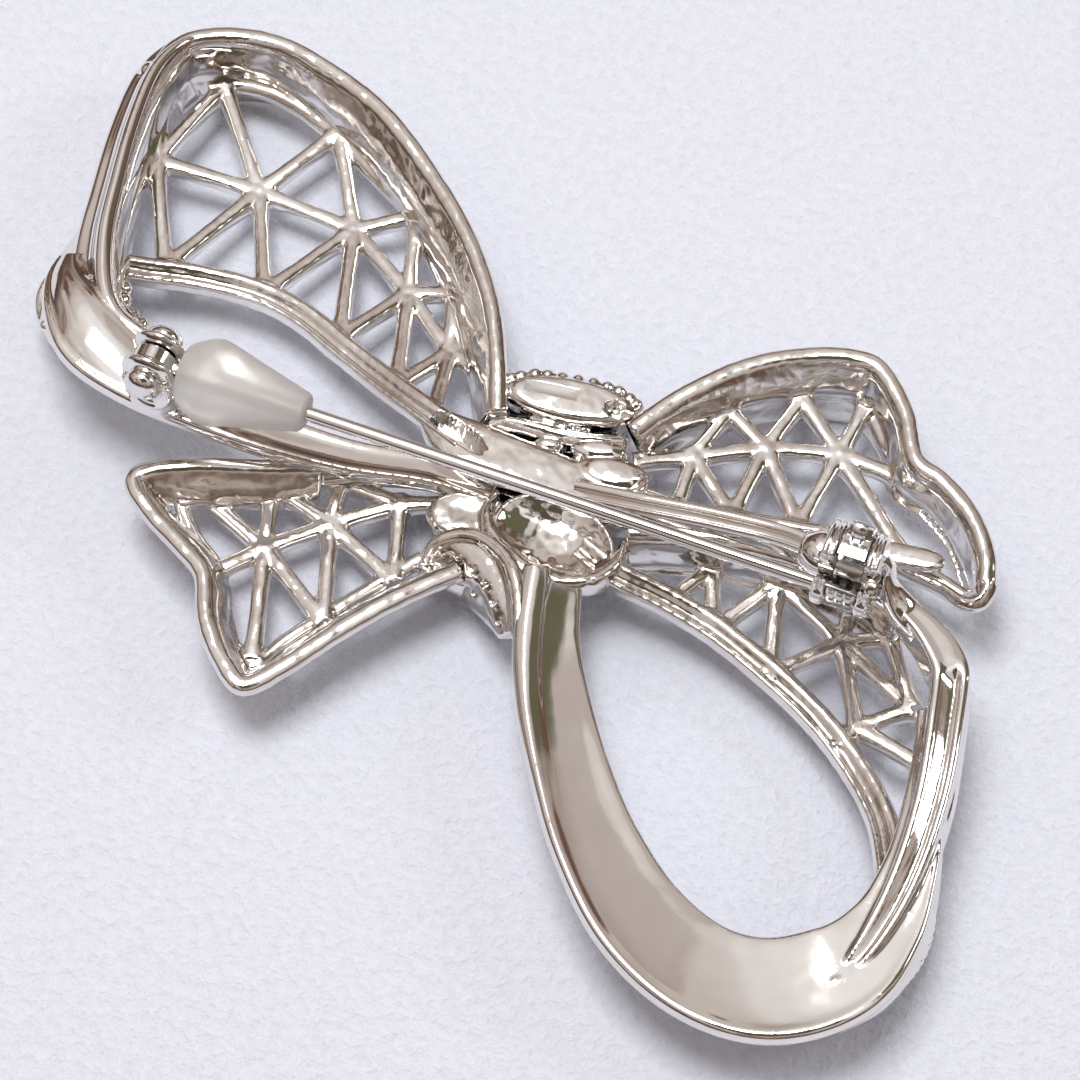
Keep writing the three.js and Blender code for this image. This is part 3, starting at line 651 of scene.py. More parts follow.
def loop_a_beads(shape):
    """Stone cups along the fold's edge, and the drops of solder left beside it."""
    cups = [[-28.8, 7.3], [-29.15, 6.3], [-29.28, 5.4], [-29.15, 4.6], [-28.8, 3.9], [-28.35, 3.3]]
    drops = (
        (-27.75, 3.4, 3.6, 0.42), (-28.1, 3.0, 3.0, 0.3), (-28.75, 18.5, 4.8, 0.62), (-24.3, 4.9, 4.8, 0.5),
        (-23.5, 4.3, 4.7, 0.42), (-22.8, 4.0, 4.7, 0.36), (-24.6, 5.8, 4.4, 0.4),
    )
    for x, y in smooth(cups, 3):
        ball(shape, (x, y, 2.5), 0.3)
    for x, y, z, r in drops:
        ball(shape, (x, y, z), r, 16)


def loop_a_ribbon():
    shape = new()
    loop_a_sheets(shape)
    loop_a_beads(shape)
    nodes = ["loop_a_band", "fold_a_tube", "fold_a_strip"]
    casting("loop_a_ribbon", fused(shape, CAST_VOXEL, blur=12), nodes, RHODIUM)


# ---- loop B, lower right -------------------------------------------------------------
def loop_b_openwork():
    shape = new()
    rim = [
        [4.6, 1.6, 4.8, 3.0, 0.8], [8.4, 2.7, 5.0, 3.2, 0.8], [12.4, 3.1, 5.2, 3.4, 0.8],
        [16.2, 2.9, 5.4, 3.5, 0.8], [18.9, 2.0, 5.5, 3.6, 0.8],
    ]
    eye = [
        [2.6, 0.4, 4.1], [4.8, -0.3, 3.8], [7.4, -0.5, 3.4], [10.4, -1.1, 3.1], [13.6, -2.3, 2.9],
        [16.6, -3.8, 2.9], [19.3, -5.8, 3.0], [21.3, -8.0, 3.3], [22.6, -10.6, 3.9],
    ]
    sweep(shape, smooth(rim, 12), wall(2.2))
    sweep(shape, smooth(eye, 10), EYE_BAR)
    nodes = {
        "h1": (16.4, 0.6, 2.6), "t1": (9.0, 2.2, 2.8), "t2": (12.4, 2.6, 2.8), "t3": (16.2, 2.4, 2.8),
        "t4": (18.6, 1.6, 2.9), "l1": (7.6, -0.6, 3.0), "l2": (10.2, -1.1, 2.8), "l3": (13.6, -2.4, 2.7),
        "l4": (18.2, -5.0, 2.8), "r1": (20.8, -1.8, 3.0), "r2": (22.4, -4.6, 3.1), "low": (18.6, -3.6, 2.8),
    }
    links = [
        ("t1", "l1"), ("t1", "l2"), ("l2", "t2"), ("t2", "l3"), ("l3", "h1"), ("h1", "t3"), ("h1", "t2"),
        ("h1", "t4"), ("h1", "r1"), ("h1", "low"), ("low", "l4"), ("low", "r2"), ("low", "r1"), ("r1", "t4"),
    ]
    network(shape, nodes, links, ("h1",))
    openwork("loop_b_openwork", shape, ["loop_b_wall", "loop_b_gallery"])


def loop_b_band(shape):
    band = [
        [1.9, -1.6, 4.8, 3.1, 0.6, 0.1, 1.4], [2.9, -5.2, 4.6, 3.4, 0.62, 0.1, 1.4],
        [4.5, -8.4, 4.5, 3.8, 0.55, 0.1, 1.1], [6.6, -11.6, 4.5, 4.1, 0.5, 0.12, 0.9],
        [9.0, -14.6, 4.6, 4.5, 0.55, 0.12, 0.8], [12.2, -17.4, 4.6, 5.0, 0.6, 0.1, 0.8],
        [15.8, -18.9, 4.6, 5.3, 0.6, 0.08, 0.8], [19.2, -18.7, 4.7, 5.5, 0.5, 0.05, 0.8],
        [22.0, -16.8, 4.9, 5.1, 0.35, 0, 0.8], [23.3, -14.0, 4.9, 3.9, 0.3, 0, 0.8],
        [23.5, -11.0, 4.9, 2.9, 0.2, 0, 0.5], [23.2, -8.0, 4.9, 2.3, 0.2, 0, 0.5],
        [22.7, -5.0, 4.9, 2.0, 0.1, 0, 0.5], [22.0, -2.4, 4.9, 1.8, 0.1, 0, 0.5],
    ]
    sweep(shape, smooth(band, 12), band_section)


def loop_b_fold(shape):
    """A flared post from the catch to the fold's neck, and the fold, which turns down at a shoulder and
    sinks into the band."""
    post = [
        [17.35, 2.7, 8.7, 0.3], [17.75, 2.5, 8.2, 0.36], [18.05, 2.1, 7.4, 0.48], [18.5, 1.85, 6.8, 0.65],
        [19.2, 1.5, 6.3, 0.8], [20.2, 1.06, 6.0, 0.8],
    ]
    fold = [
        [18.3, 1.95, 6.3, 0.9, 2.2, 0], [19.2, 1.55, 6.35, 1.15, 2.8, 0], [20.3, 1.0, 6.35, 1.5, 3.2, 0],
        [21.4, 0.15, 6.35, 1.85, 3.4, 0], [22.1, -0.7, 6.35, 1.95, 3.4, 0.02],
        [22.35, -1.5, 6.3, 1.95, 3.4, 0.3], [22.7, -3.3, 6.3, 1.9, 3.4, 0.34],
        [23.1, -5.5, 6.2, 1.85, 3.2, 0.34], [23.35, -7.6, 6.0, 1.75, 3.0, 0.32],
        [23.45, -10.2, 5.8, 1.65, 2.8, 0.3], [23.3, -12.6, 5.5, 1.5, 2.4, 0.26],
        [22.9, -14.8, 5.15, 1.25, 1.6, 0.2], [22.4, -16.4, 4.75, 0.9, 1.0, 0.1],
        [22.0, -17.4, 4.2, 0.5, 0.8, 0.02],
    ]
    sweep(shape, smooth(post, 8), post_section)
    sweep(shape, smooth(fold, 12), ribbon_section)


def loop_b_strip(shape):
    """The strip with its stone cups, and the flank that joins it to the fold."""
    strip = [
        [23.2, -3.2, 3.3], [23.6, -5.6, 3.0], [24.1, -8.2, 2.6], [24.7, -10.8, 2.2], [24.95, -13.2, 2.0],
        [24.6, -15.2, 2.0], [23.9, -16.9, 2.1], [22.6, -18.5, 2.4],
    ]
    cups = [
        [23.7, -9.4, 2.3], [24.6, -10.6, 2.1], [25.1, -12.2, 1.9], [25.1, -13.9, 1.8], [24.6, -15.5, 1.9],
        [23.7, -16.8, 2.2],
    ]
    flank = [[22.9, -1.7, 5.9], [23.2, -2.6, 5.8], [23.6, -4.6, 5.5], [24.0, -7.0, 5.0], [24.1, -9.4, 4.4]]
    sweep(shape, smooth(strip, 10), STRIP_B)
    for x, y, z in smooth(cups, 4):
        ball(shape, (x + 0.1, y, z), 0.28)
    sweep(shape, smooth(flank, 6), lambda s: pillow(1.1, 2.6, 0.4))


def loop_b_ribbon():
    shape = new()
    loop_b_band(shape)
    loop_b_fold(shape)
    loop_b_strip(shape)
    nodes = ["loop_b_band", "fold_b_tube", "fold_b_strip"]
    casting("loop_b_ribbon", fused(shape, CAST_VOXEL, blur=9), nodes, RHODIUM)


# ---- tail C, right -------------------------------------------------------------------
def tail_c_frame(shape):
    """The wall with its turned tip and tongue, and two sills."""
    rim = [
        [2.8, 7.2, 4.6, 2.6, 0.9], [4.6, 10.0, 4.8, 3.6, 1.1], [7.2, 12.8, 4.9, 4.5, 1.35],
        [10.2, 14.6, 4.9, 4.9, 1.3], [12.6, 15.2, 4.9, 4.9, 1.2], [14.0, 14.6, 4.9, 4.6, 0.95],
        [15.6, 12.8, 4.9, 4.0, 0.95], [16.8, 10.6, 4.9, 3.2, 1.0], [18.4, 9.9, 4.9, 2.6, 1.0],
        [20.3, 8.6, 4.9, 2.4, 1.0], [21.7, 6.8, 4.9, 2.4, 0.95], [22.3, 5.2, 4.8, 2.4, 0.6],
    ]
    tip = [
        [21.9, 6.6, 4.5, 0.9], [22.3, 5.4, 4.82, 1.12], [22.35, 4.8, 4.75, 1.1], [22.1, 4.25, 4.55, 1.0],
        [21.4, 4.1, 4.3, 0.8], [20.2, 4.6, 4.0, 0.6], [18.4, 4.9, 3.8, 0.5], [16.6, 5.2, 3.7, 0.5],
    ]
    tongue = [[17.0, 5.3, 4.3, 1.3], [18.4, 5.4, 4.5, 1.3], [19.4, 5.5, 4.55, 1.15], [20.0, 5.55, 4.5, 0.6]]
    upper_sill = [
        [3.6, 8.1, 3.0], [4.6, 9.9, 2.9], [6.6, 11.7, 2.8], [9.1, 13.3, 2.8], [11.8, 14.3, 2.8],
        [13.2, 14.0, 2.8], [14.6, 12.4, 2.8], [16.2, 10.7, 2.8],
    ]
    lower_sill = [
        [2.4, 4.6, 3.6], [6.2, 4.6, 3.4], [10.4, 5.3, 3.3], [14.6, 6.0, 3.2], [18.2, 5.8, 3.2],
        [21.4, 4.9, 3.3],
    ]
    sweep(shape, smooth(rim, 12), wall(1.8, 0.9))
    sweep(shape, smooth(tip, 8), lambda s: pillow(s[3], 1.1, 0.4))
    sweep(shape, smooth(tongue, 6), lambda s: pillow(s[3], 0.6, 0.3))
    sweep(shape, smooth(upper_sill, 8), lambda s: pillow(0.85, 1.0))
    sweep(shape, smooth(lower_sill, 8), lambda s: pillow(0.95, 1.2))


def tail_c_openwork():
    shape = new()
    tail_c_frame(shape)
    nodes = {
        "c3": (6.0, 7.8, 2.9), "c1": (9.3, 9.6, 2.9), "c2": (12.9, 10.6, 2.9), "t1": (6.8, 11.0, 3.0),
        "t2": (10.1, 13.0, 3.0), "t3": (13.3, 13.6, 3.0), "b0": (3.2, 6.4, 3.0), "b1": (6.2, 4.6, 3.0),
        "b2": (9.0, 5.2, 3.0), "b3": (12.3, 5.8, 3.0), "n1": (16.0, 10.4, 3.0), "n2": (18.0, 6.0, 3.0),
    }
    links = [
        ("c3", "c1"), ("c1", "c2"), ("c2", "n1"), ("c3", "t1"), ("t1", "c1"), ("c1", "t2"), ("t2", "c2"),
        ("c2", "t3"), ("c3", "b0"), ("c3", "b1"), ("c3", "b2"), ("c1", "b2"), ("c1", "b3"), ("c2", "b3"),
        ("c2", "n2"),
    ]
    network(shape, nodes, links, ("c1", "c2", "c3"))
    openwork("tail_c_openwork", shape, ["tail_c_wall", "tail_c_gallery"])


def bridge_bar():
    """The bar from the knot to the catch, with the collar that meets the catch's first flange."""
    shape = new()
    line = [[1.2, 3.0, 4.5], [4.4, 3.1, 5.1], [8.6, 3.3, 5.8], [12.2, 3.3, 6.4], [14.7, 2.8, 7.0]]
    collar = [(13.3, 0), (13.3, 0.7), (13.5, 0.95), (14.0, 1.2), (14.5, 1.28), (14.7, 1.2), (14.7, 0)]
    sweep(shape, smooth(line, 12), BRIDGE_BAR)
    turned(shape, collar, 40, along_x(2.5, 7.0))
    piece("bridge_bar_skin", shape, ["bridge_bar"], "bow", RHODIUM, 50)


# ---- tail D, left --------------------------------------------------------------------
def tail_d_frame(shape):
    """The wall and two sills."""
    rim = [
        [-2.6, -3.0, 4.0, 2.2, 1.2], [-5.0, -5.7, 4.1, 2.2, 1.2], [-7.0, -8.4, 4.1, 2.2, 1.2],
        [-8.8, -11.2, 4.1, 2.2, 1.1], [-10.2, -12.7, 4.1, 2.2, 1.1], [-11.8, -11.7, 4.1, 2.2, 1.1],
        [-13.3, -10.0, 4.1, 2.2, 1.1], [-14.5, -7.7, 4.1, 2.2, 1.1], [-16.4, -6.5, 4.1, 2.2, 1.1],
        [-18.4, -5.4, 4.1, 2.2, 1.1], [-19.8, -4.1, 4.1, 2.2, 1.0], [-18.8, -3.0, 4.1, 2.2, 1.3],
        [-16.4, -1.9, 4.0, 2.1, 1.6], [-14.0, -0.9, 3.6, 1.8, 1.5], [-11.4, 0.2, 3.4, 1.7, 1.2],
    ]
    upper_sill = [
        [-15.6, -1.9, 2.9], [-12.6, -0.6, 2.7], [-9.6, 0.9, 2.7], [-6.2, 1.9, 2.7], [-2.8, 2.0, 2.7],
    ]
    lower_sill = [
        [-17.6, -3.7, 2.4], [-16.2, -5.2, 2.3], [-14.5, -6.4, 2.3], [-13.3, -8.2, 2.3], [-11.9, -10.2, 2.3],
        [-10.6, -10.9, 2.3], [-9.6, -9.0, 2.3], [-7.6, -6.0, 2.3], [-4.9, -2.2, 2.4],
    ]
    sweep(shape, smooth(rim, 12), wall(1.5, 1.0))
    sweep(shape, smooth(upper_sill, 8), lambda s: pillow(0.95, 1.1))
    sweep(shape, smooth(lower_sill, 8), lambda s: pillow(0.85, 0.9))


def tail_d_openwork():
    shape = new()
    tail_d_frame(shape)
    nodes = {
        "d1": (-12.6, -4.5, 2.3), "d2": (-10.0, -2.1, 2.3), "d3": (-7.1, 0.2, 2.4), "t1": (-16.8, -2.8, 2.4),
        "t2": (-13.6, -1.1, 2.4), "t3": (-10.4, 0.4, 2.4), "left": (-14.4, -6.7, 2.4),
        "b1": (-10.7, -10.6, 2.4), "b2": (-8.2, -7.4, 2.4), "b3": (-5.8, -4.0, 2.4), "end": (-3.6, 1.4, 2.7),
    }
    links = [
        ("d1", "t1"), ("d1", "t2"), ("d1", "left"), ("d1", "b1"), ("d1", "b2"), ("d1", "d2"), ("d2", "t2"),
        ("d2", "t3"), ("d2", "b2"), ("d2", "b3"), ("d2", "d3"), ("d3", "t3"), ("d3", "b3"), ("d3", "end"),
    ]
    network(shape, nodes, links, ("d1", "d2", "d3"))
    openwork("tail_d_openwork", shape, ["tail_d_wall", "tail_d_gallery"])


# ---- knot ----------------------------------------------------------------------------
def knot_strap(shape):
    """A domed strap across the front, whose upper end shows at the back as a lobe with a beaded edge."""
    strap = [
        [-0.9, 8.2, 3.6], [-0.9, 8.6, 2.6], [-0.9, 8.0, 1.3], [-0.9, 5.6, 0.4], [-1.0, 2.6, 0.4],
        [-1.1, -0.8, 0.4], [-1.3, -2.6, 1.0], [-1.5, -3.2, 1.8], [-1.5, -3.0, 2.6],
    ]
    lobe = [(1.6, 0), (1.6, 0.75), (3.2, 0.98), (3.9, 1.0), (4.3, 0.96), (4.52, 0.84), (4.55, 0.7), (4.58, 0)]
    ledge = [
        [-4.3, 5.3, 3.8], [-3.4, 5.75, 4.1], [-2.0, 5.9, 4.15], [-0.4, 6.0, 4.1], [1.2, 6.3, 4.2],
        [2.6, 6.9, 3.9],
    ]
    beads = [[-4.0, 8.1], [-3.0, 8.75], [-1.6, 9.05], [0.0, 9.3], [1.4, 9.3], [2.5, 8.9]]
    sweep(shape, smooth(strap, 8), STRAP, up=ACROSS)
    turned(shape, lobe, 64, along_z(-0.75, 7.85, 3.5, 1.25, 8))
    sweep(shape, smooth(ledge, 8), lambda s: pillow(1.15, 2.2, 0.4))
    for x, y in smooth(beads, 2):
        ball(shape, (x, y - 0.08, 4.05), 0.4)


def knot_flank(shape):
    """A tapered plate that drops from a thick rim; the rim runs on into the left edge of the lower band."""
    rim = [
        [-4.7, -2.8, 2.8, 0.5], [-4.4, -1.9, 3.6, 0.75], [-3.4, -1.2, 4.1, 0.95], [-2.1, -1.1, 4.4, 1.0],
        [-0.9, -1.6, 4.6, 1.05], [0.1, -2.5, 4.75, 1.1], [0.9, -3.8, 4.7, 1.1], [1.45, -5.2, 4.5, 0.9],
        [1.9, -6.4, 4.2, 0.6],
    ]
    plate = [
        [-4.6, -2.4, 2.7, 0.5], [-3.7, -1.6, 3.6, 0.85], [-2.5, -1.4, 4.0, 1.05], [-1.2, -1.9, 4.1, 1.1],
        [-0.1, -2.9, 4.1, 1.05], [0.7, -4.1, 4.0, 0.8], [1.2, -5.3, 3.9, 0.45],
    ]
    sweep(shape, smooth(rim, 10), flank_rim_section)
    sweep(shape, smooth(plate, 8), flank_plate_section)


def knot_hollows():
    """What is cut from the wrap: the flank's stone holes, a round hole, and the lobe's hollow."""
    sockets = (
        (-3.75, -2.15, 3.1, 0.3), (-2.95, -2.3, 3.4, 0.36), (-1.9, -2.55, 3.5, 0.42), (-2.5, -2.95, 2.9, 0.3),
        (-0.9, -3.1, 3.5, 0.4), (-1.5, -3.5, 2.8, 0.3), (-0.2, -3.9, 3.4, 0.36), (0.35, -4.7, 3.2, 0.28),
    )
    holes = new()
    for x, y, z, r in sockets:
        turned(holes, [(-0.8, 0), (-0.8, r), (1.5, r), (1.5, 0)], 6,
               lambda a, u, v, c=(x, y, z): Vector(c) + Vector((u - a * 0.25, v - a * 0.75, a * 0.6)))
    turned(holes, [(4.0, 0), (4.0, 0.6), (5.2, 0.6), (5.2, 0)], 7, along_z(1.6, 8.0, 1, 0.9))
    sweep(holes, [[-3.2, 7.75, 6.4], [-0.4, 8.1, 6.4]],
          lambda s: [(1.178 * math.cos(t / 6 * math.pi), 2.0 * math.sin(t / 6 * math.pi)) for t in range(12)])
    return holes


def knot_wrap():
    shape = new()
    knot_strap(shape)
    knot_flank(shape)
    skin = fused(shape, CAST_VOXEL, blur=4, lumps=KNOT_LUMPS, cut=knot_hollows())
    casting("knot_wrap_skin", skin, ["knot_wrap"], RHODIUM_CAST)


def knot_core():
    """A block across the knot with three worn lumps and a curled lip on it."""
    shape = new()
    block_line = [
        [-7.4, 4.9, 3.7, 0.5], [-6.4, 4.4, 3.95, 0.8], [-5.0, 3.9, 4.15, 1], [-3.0, 3.75, 4.2, 1],
        [-0.4, 3.6, 4.2, 1], [2.2, 3.4, 4.2, 1], [4.2, 3.2, 4.1, 0.85], [5.2, 3.1, 3.9, 0.5],
    ]
    right = [(2.2, 0), (2.2, 0.8), (3.8, 1.0), (4.15, 0.9), (4.32, 0.6), (4.36, 0)]
    upper = [(2.6, 0), (2.6, 0.8), (3.9, 1.0), (4.2, 0.85), (4.35, 0.5), (4.38, 0)]
    left = [(2.6, 0), (2.6, 1.0), (3.9, 0.95), (4.15, 0.6), (4.2, 0)]
    lip = [[1.1, 3.7, 4.2], [2.5, 3.4, 4.5], [4.2, 3.9, 4.6], [4.3, 4.8, 4.4], [2.9, 4.3, 4.25]]
    sweep(shape, smooth(block_line, 8), core_section)
    turned(shape, right, 40, along_z(2.7, 4.7, 2.0, 1.0, 8))
    turned(shape, upper, 32, along_z(1.6, 5.7, 1.5, 0.62, 12))
    turned(shape, left, 24, along_z(-0.9, 5.2, 0.8, 0.4, 10))
    sweep(shape, smooth(lip, 6), lambda s: pillow(0.5, 0.7))
    skin = fused(shape, CAST_VOXEL, blur=8, lumps=KNOT_LUMPS, cut=rim_slot())
    casting("knot_core_skin", skin, ["knot_core"], RHODIUM_CAST)


def knot_dish():
    """An uneven hollow with a thick rim round its lower side only, and a smaller mound left of it."""
    shape = new()
    hollow = [(2.1, 0), (2.1, 0.5), (2.4, 0.8), (3.4, 0.98), (3.9, 1.0), (4.0, 0.93), (3.75, 0.8), (3.4, 0.5),
              (3.25, 0.25), (3.25, 0)]
    rim = [
        [-2.4, 2.0, 3.6, 0.5], [-2.5, 0.7, 4.1, 0.8], [-1.7, -0.7, 4.35, 1], [0.2, -1.75, 4.45, 1.2],
        [2.3, -1.95, 4.45, 1.2], [3.8, -1.3, 4.4, 1.1], [4.6, 0.0, 4.2, 1.0], [4.5, 1.6, 3.7, 0.6],
    ]
    mound = [(2.0, 0), (2.0, 0.9), (3.0, 1.0), (3.4, 0.85), (3.45, 0.5), (3.3, 0)]
    turned(shape, hollow, 64, along_z(1.2, 0.3, 3.3, 2.3, -8))
    sweep(shape, smooth(rim, 8), dish_rim_section)
    turned(shape, mound, 40, along_z(-3.5, 0.4, 2.1, 1.5, 20))
    casting("knot_dish_skin", fused(shape, CAST_VOXEL, blur=8, lumps=DISH_LUMPS), ["knot_dish"], RHODIUM_CAST)


# ---- hinge, pin and guard ------------------------------------------------------------
def hinge_ears(shape):
    """Two upright ears with round tops, each a stack of discs."""
    for y0, y1 in ((-EAR_OUT, -EAR_IN), (EAR_IN, EAR_OUT)):
        ear = [
            (y0, 0), (y0, EAR_R - 0.6), (y0 + 0.1, EAR_R - 0.25), (y0 + 0.28, EAR_R - 0.02),
            (y1 - 0.15, EAR_R), (y1, EAR_R - 0.1), (y1, 0),
        ]
        for i in range(7):
            turned(shape, ear, 40, along_y(HINGE_X, PIN_Z - 0.32 * i))


def hinge_rim():
    """A U on the outer face of the near ear, open at its top."""
    line = []
    for i in range(RIM_STEPS + 1):
        swing = math.radians(RIM_START + RIM_ARC * i / RIM_STEPS)
        line.append([HINGE_X + RIM_HALF * math.cos(swing), -EAR_OUT - RIM_PROUD,
                     PIN_Z - RIM_DROP + RIM_HEIGHT * math.sin(swing)])
    return line


def hinge_groove(rim):
    """The groove inside the U."""
    cutter = new()
    inner = [[HINGE_X + (x - HINGE_X) * 0.72, y, PIN_Z - RIM_DROP + (z - PIN_Z + RIM_DROP) * 0.78]
             for x, y, z in rim]
    sweep(cutter, inner, lambda s: [(0.1, 0.5), (0.1, -0.3), (-0.1, -0.3), (-0.1, 0.5)], up=TOWARDS_CAMERA)
    return cutter


def hinge_bracket():
    shape = new()
    rim = hinge_rim()
    top = PIN_Z - EYE_R - 0.25
    hinge_ears(shape)
    sweep(shape, rim, lambda s: pillow(0.34, 0.56, 0.4), up=TOWARDS_CAMERA)
    turned(shape, [(5.2, 0), (5.2, 1.9), (5.9, 1.75), (6.6, 1.55), (top, 1.35), (top, 0)], 40,
           along_z(HINGE_X, 0.1, 1, 0.62))
    skin = fused(shape, FITTING_VOXEL, blur=5, cut=hinge_groove(rim))
    casting("hinge_bracket_skin", skin, ["hinge_bracket"], RHODIUM)


def hinge_rivet():
    """A rivet with a round head outside each ear."""
    shape = new()
    head = [(0.0, 0.84), (0.14, 0.95), (0.34, 0.98), (0.56, 0.91), (0.76, 0.72), (0.9, 0.44), (0.96, 0)]
    near = [(-EAR_OUT - a, r) for a, r in reversed(head)]
    far = [(EAR_OUT + a, r) for a, r in head]
    turned(shape, [*near, (-EAR_OUT, RIVET_R), (EAR_OUT, RIVET_R), *far], 40, along_y(HINGE_X, PIN_Z))
    piece("hinge_rivet_skin", shape, ["hinge_rivet"], "bow", WIRE)


def pin_stem():
    """A wire with a flattened eye at the hinge and a long ground point."""
    shape = new()
    eye = [
        (-EYE_HALF, 0), (-EYE_HALF, EYE_R - 0.1), (-EYE_HALF + 0.1, EYE_R), (EYE_HALF - 0.1, EYE_R),
        (EYE_HALF, EYE_R - 0.1), (EYE_HALF, 0),
    ]
    stem = [
        (HINGE_X + 0.7, 0), (HINGE_X + 0.7, PIN_R), (PIN_TIP_X - 3.2, PIN_R), (PIN_TIP_X - 2.2, PIN_R * 0.9),
        (PIN_TIP_X - 1.2, PIN_R * 0.7), (PIN_TIP_X - 0.2, PIN_R * 0.28), (PIN_TIP_X, 0),
    ]
    turned(shape, eye, 48, along_y(HINGE_X, PIN_Z))
    turned(shape, stem, 32, along_x(0, PIN_Z))
    piece("pin_stem_skin", shape, ["pin_stem"], "pin", WIRE)


def pin_guard():
    """A bored plastic bell: a round shoulder at the hinge, tapering to a blunt end."""
    shape = new()
    bell = [
        (1.68, BORE_R), (1.62, 0.7), (1.62, 1.25), (1.68, 1.45), (1.8, 1.6), (2.3, 1.9), (2.8, 2.14),
        (3.1, 2.21), (3.4, 2.18), (3.8, 2.1), (5.0, 1.79), (8.05, 1.02), (8.2, 0.93), (8.25, 0.8),
        (8.22, BORE_R), (1.68, BORE_R),
    ]
    turned(shape, [(HINGE_X + a, r) for a, r in bell], 64, along_x(0, PIN_Z))
    bmesh.ops.remove_doubles(shape, verts=shape.verts, dist=0.0001)
    piece("pin_guard_skin", shape, ["pin_guard"], "guard", FROSTED, 60)


# ---- catch ---------------------------------------------------------------------------
def catch_flanges(shape):
    """Two beaded flanges, each with a boss round the pin."""
    for x0, x1 in (FLANGE_A, FLANGE_B):
        flange = [
            (x0, 0), (x0, FLANGE_R - 0.16), (x0 + 0.1, FLANGE_R - 0.02), (x0 + 0.22, FLANGE_R),
            (x0 + 0.3, FLANGE_R - 0.12), (x1 - 0.3, FLANGE_R - 0.12), (x1 - 0.22, FLANGE_R),
            (x1 - 0.1, FLANGE_R - 0.02), (x1, FLANGE_R - 0.16), (x1, 0),
        ]
        boss = [(x0, 0), (x0, 0.8), (x0 + 0.15, 0.95), (x1 - 0.15, 0.95), (x1, 0.8), (x1, 0)]
        turned(shape, flange, 48, along_x(CATCH_Y, CATCH_Z))
        turned(shape, boss, 32, along_x(0, PIN_Z))


def catch_slot():
    """The way through both flanges for the pin, open at the top."""
    cutter = new()
    low, high, half = PIN_Z - 0.42, CATCH_Z + 4, 0.45
    sweep(cutter, [[FLANGE_A[0] - 1, 0, 0], [FLANGE_B[1] + 0.001, 0, 0]],
          lambda s: [(half, low), (half, high), (-half, high), (-half, low)])
    return cutter


def catch_body():
    shape = new()
    catch_flanges(shape)
    block(shape, FLANGE_A[0], FLANGE_B[1], CATCH_Y - 0.9, CATCH_Y + 2.0, 5.9, CATCH_Z - DRUM_OUT - 0.08)
    skin = fused(shape, FITTING_VOXEL, blur=3, cut=catch_slot())
    casting("catch_body_skin", skin, ["catch_body"], RHODIUM)


def drum_shell(shape):
    """A thin shell about the drum's axis, open at the window."""
    half = (DRUM_X[1] - DRUM_X[0]) / 2
    steps = 60
    line = []
    for i in range(steps + 1):
        angle = math.radians(WINDOW[1] + (360 - WINDOW[1] + WINDOW[0]) * i / steps)
        line.append([DRUM_MIDDLE, CATCH_Y + DRUM_SHELL * math.cos(angle),
                     CATCH_Z + DRUM_SHELL * math.sin(angle)])
    sweep(shape, line, lambda s: [(0.0, -half), (-0.06, -half), (-0.1, -half + 0.08), (-0.1, half - 0.08),
                                  (-0.06, half), (0.0, half)], up=ACROSS)


def drum_studs(shape):
    """Three rings of small square studs, the drum's grip."""
    sweep_angle = 360 - 2 * STUD_MARGIN - WINDOW[1] + WINDOW[0]
    for i in range(STUD_ROWS):
        turn = WINDOW[1] + STUD_MARGIN + sweep_angle * i / (STUD_ROWS - 1)
        for x in STUD_RINGS:
            spin = Matrix.Rotation(math.radians(turn), 4, "X")
            place = Matrix.Translation((DRUM_MIDDLE + x, CATCH_Y, CATCH_Z)) @ spin
            out = Matrix.Translation((0, STUD_REACH, 0)) @ Matrix.Diagonal(STUD_SIZE)
            stud = bmesh.ops.create_cube(shape, size=1, matrix=place @ out)
            edges = list({edge for vert in stud["verts"] for edge in vert.link_edges})
            bmesh.ops.bevel(shape, geom=edges, offset=0.04, segments=2, affect="EDGES")


def drum_lever(shape):
    """A round-ended tab that leans out of the shell."""
    tab = []
    for across, out in ((-0.34, DRUM_SHELL), (-0.28, 2.45), (0, 2.68), (0.28, 2.45), (0.34, DRUM_SHELL)):
        tab.append([DRUM_MIDDLE,
                    CATCH_Y + out * math.cos(LEVER_LEAN) + across * math.sin(LEVER_LEAN),
                    CATCH_Z + out * math.sin(LEVER_LEAN) - across * math.cos(LEVER_LEAN)])
    outline = rounded([(0.12, -0.34), (-0.1, -0.34), (-0.1, 0.34), (0.12, 0.34)], 1)
    sweep(shape, smooth(tab, 6), lambda s: outline, up=ACROSS)


def catch_drum():
    shape = new()
    drum_shell(shape)
    drum_studs(shape)
    block(shape, DRUM_X[0], DRUM_X[1], CATCH_Y, CATCH_Y + DRUM_IN + 0.05, CATCH_Z - 0.6, CATCH_Z + 0.6)
    drum_lever(shape)
    turned(shape, [(DRUM_X[0], 0), (DRUM_X[0], AXLE_R), (DRUM_X[1], AXLE_R), (DRUM_X[1], 0)], 32,
           along_x(CATCH_Y, CATCH_Z))
    piece("catch_drum_skin", shape, ["catch_drum"], "drum", DRUM_METAL)


# ---- crystals ------------------------------------------------------------------------
def stone(name, x, y, z, r=0.56):
    """A cut stone that faces down, its girdle at height z."""
    gem = new()
    profile = [(z + r * 0.95, 0), (z + r * 0.15, r), (z - r * 0.02, r), (z - r * 0.3, r * 0.62),
               (z - r * 0.35, 0)]
    turned(gem, profile, 16, along_z(x, y))
    piece(name + "_cut", gem, [name], "bow", CRYSTAL, 8)


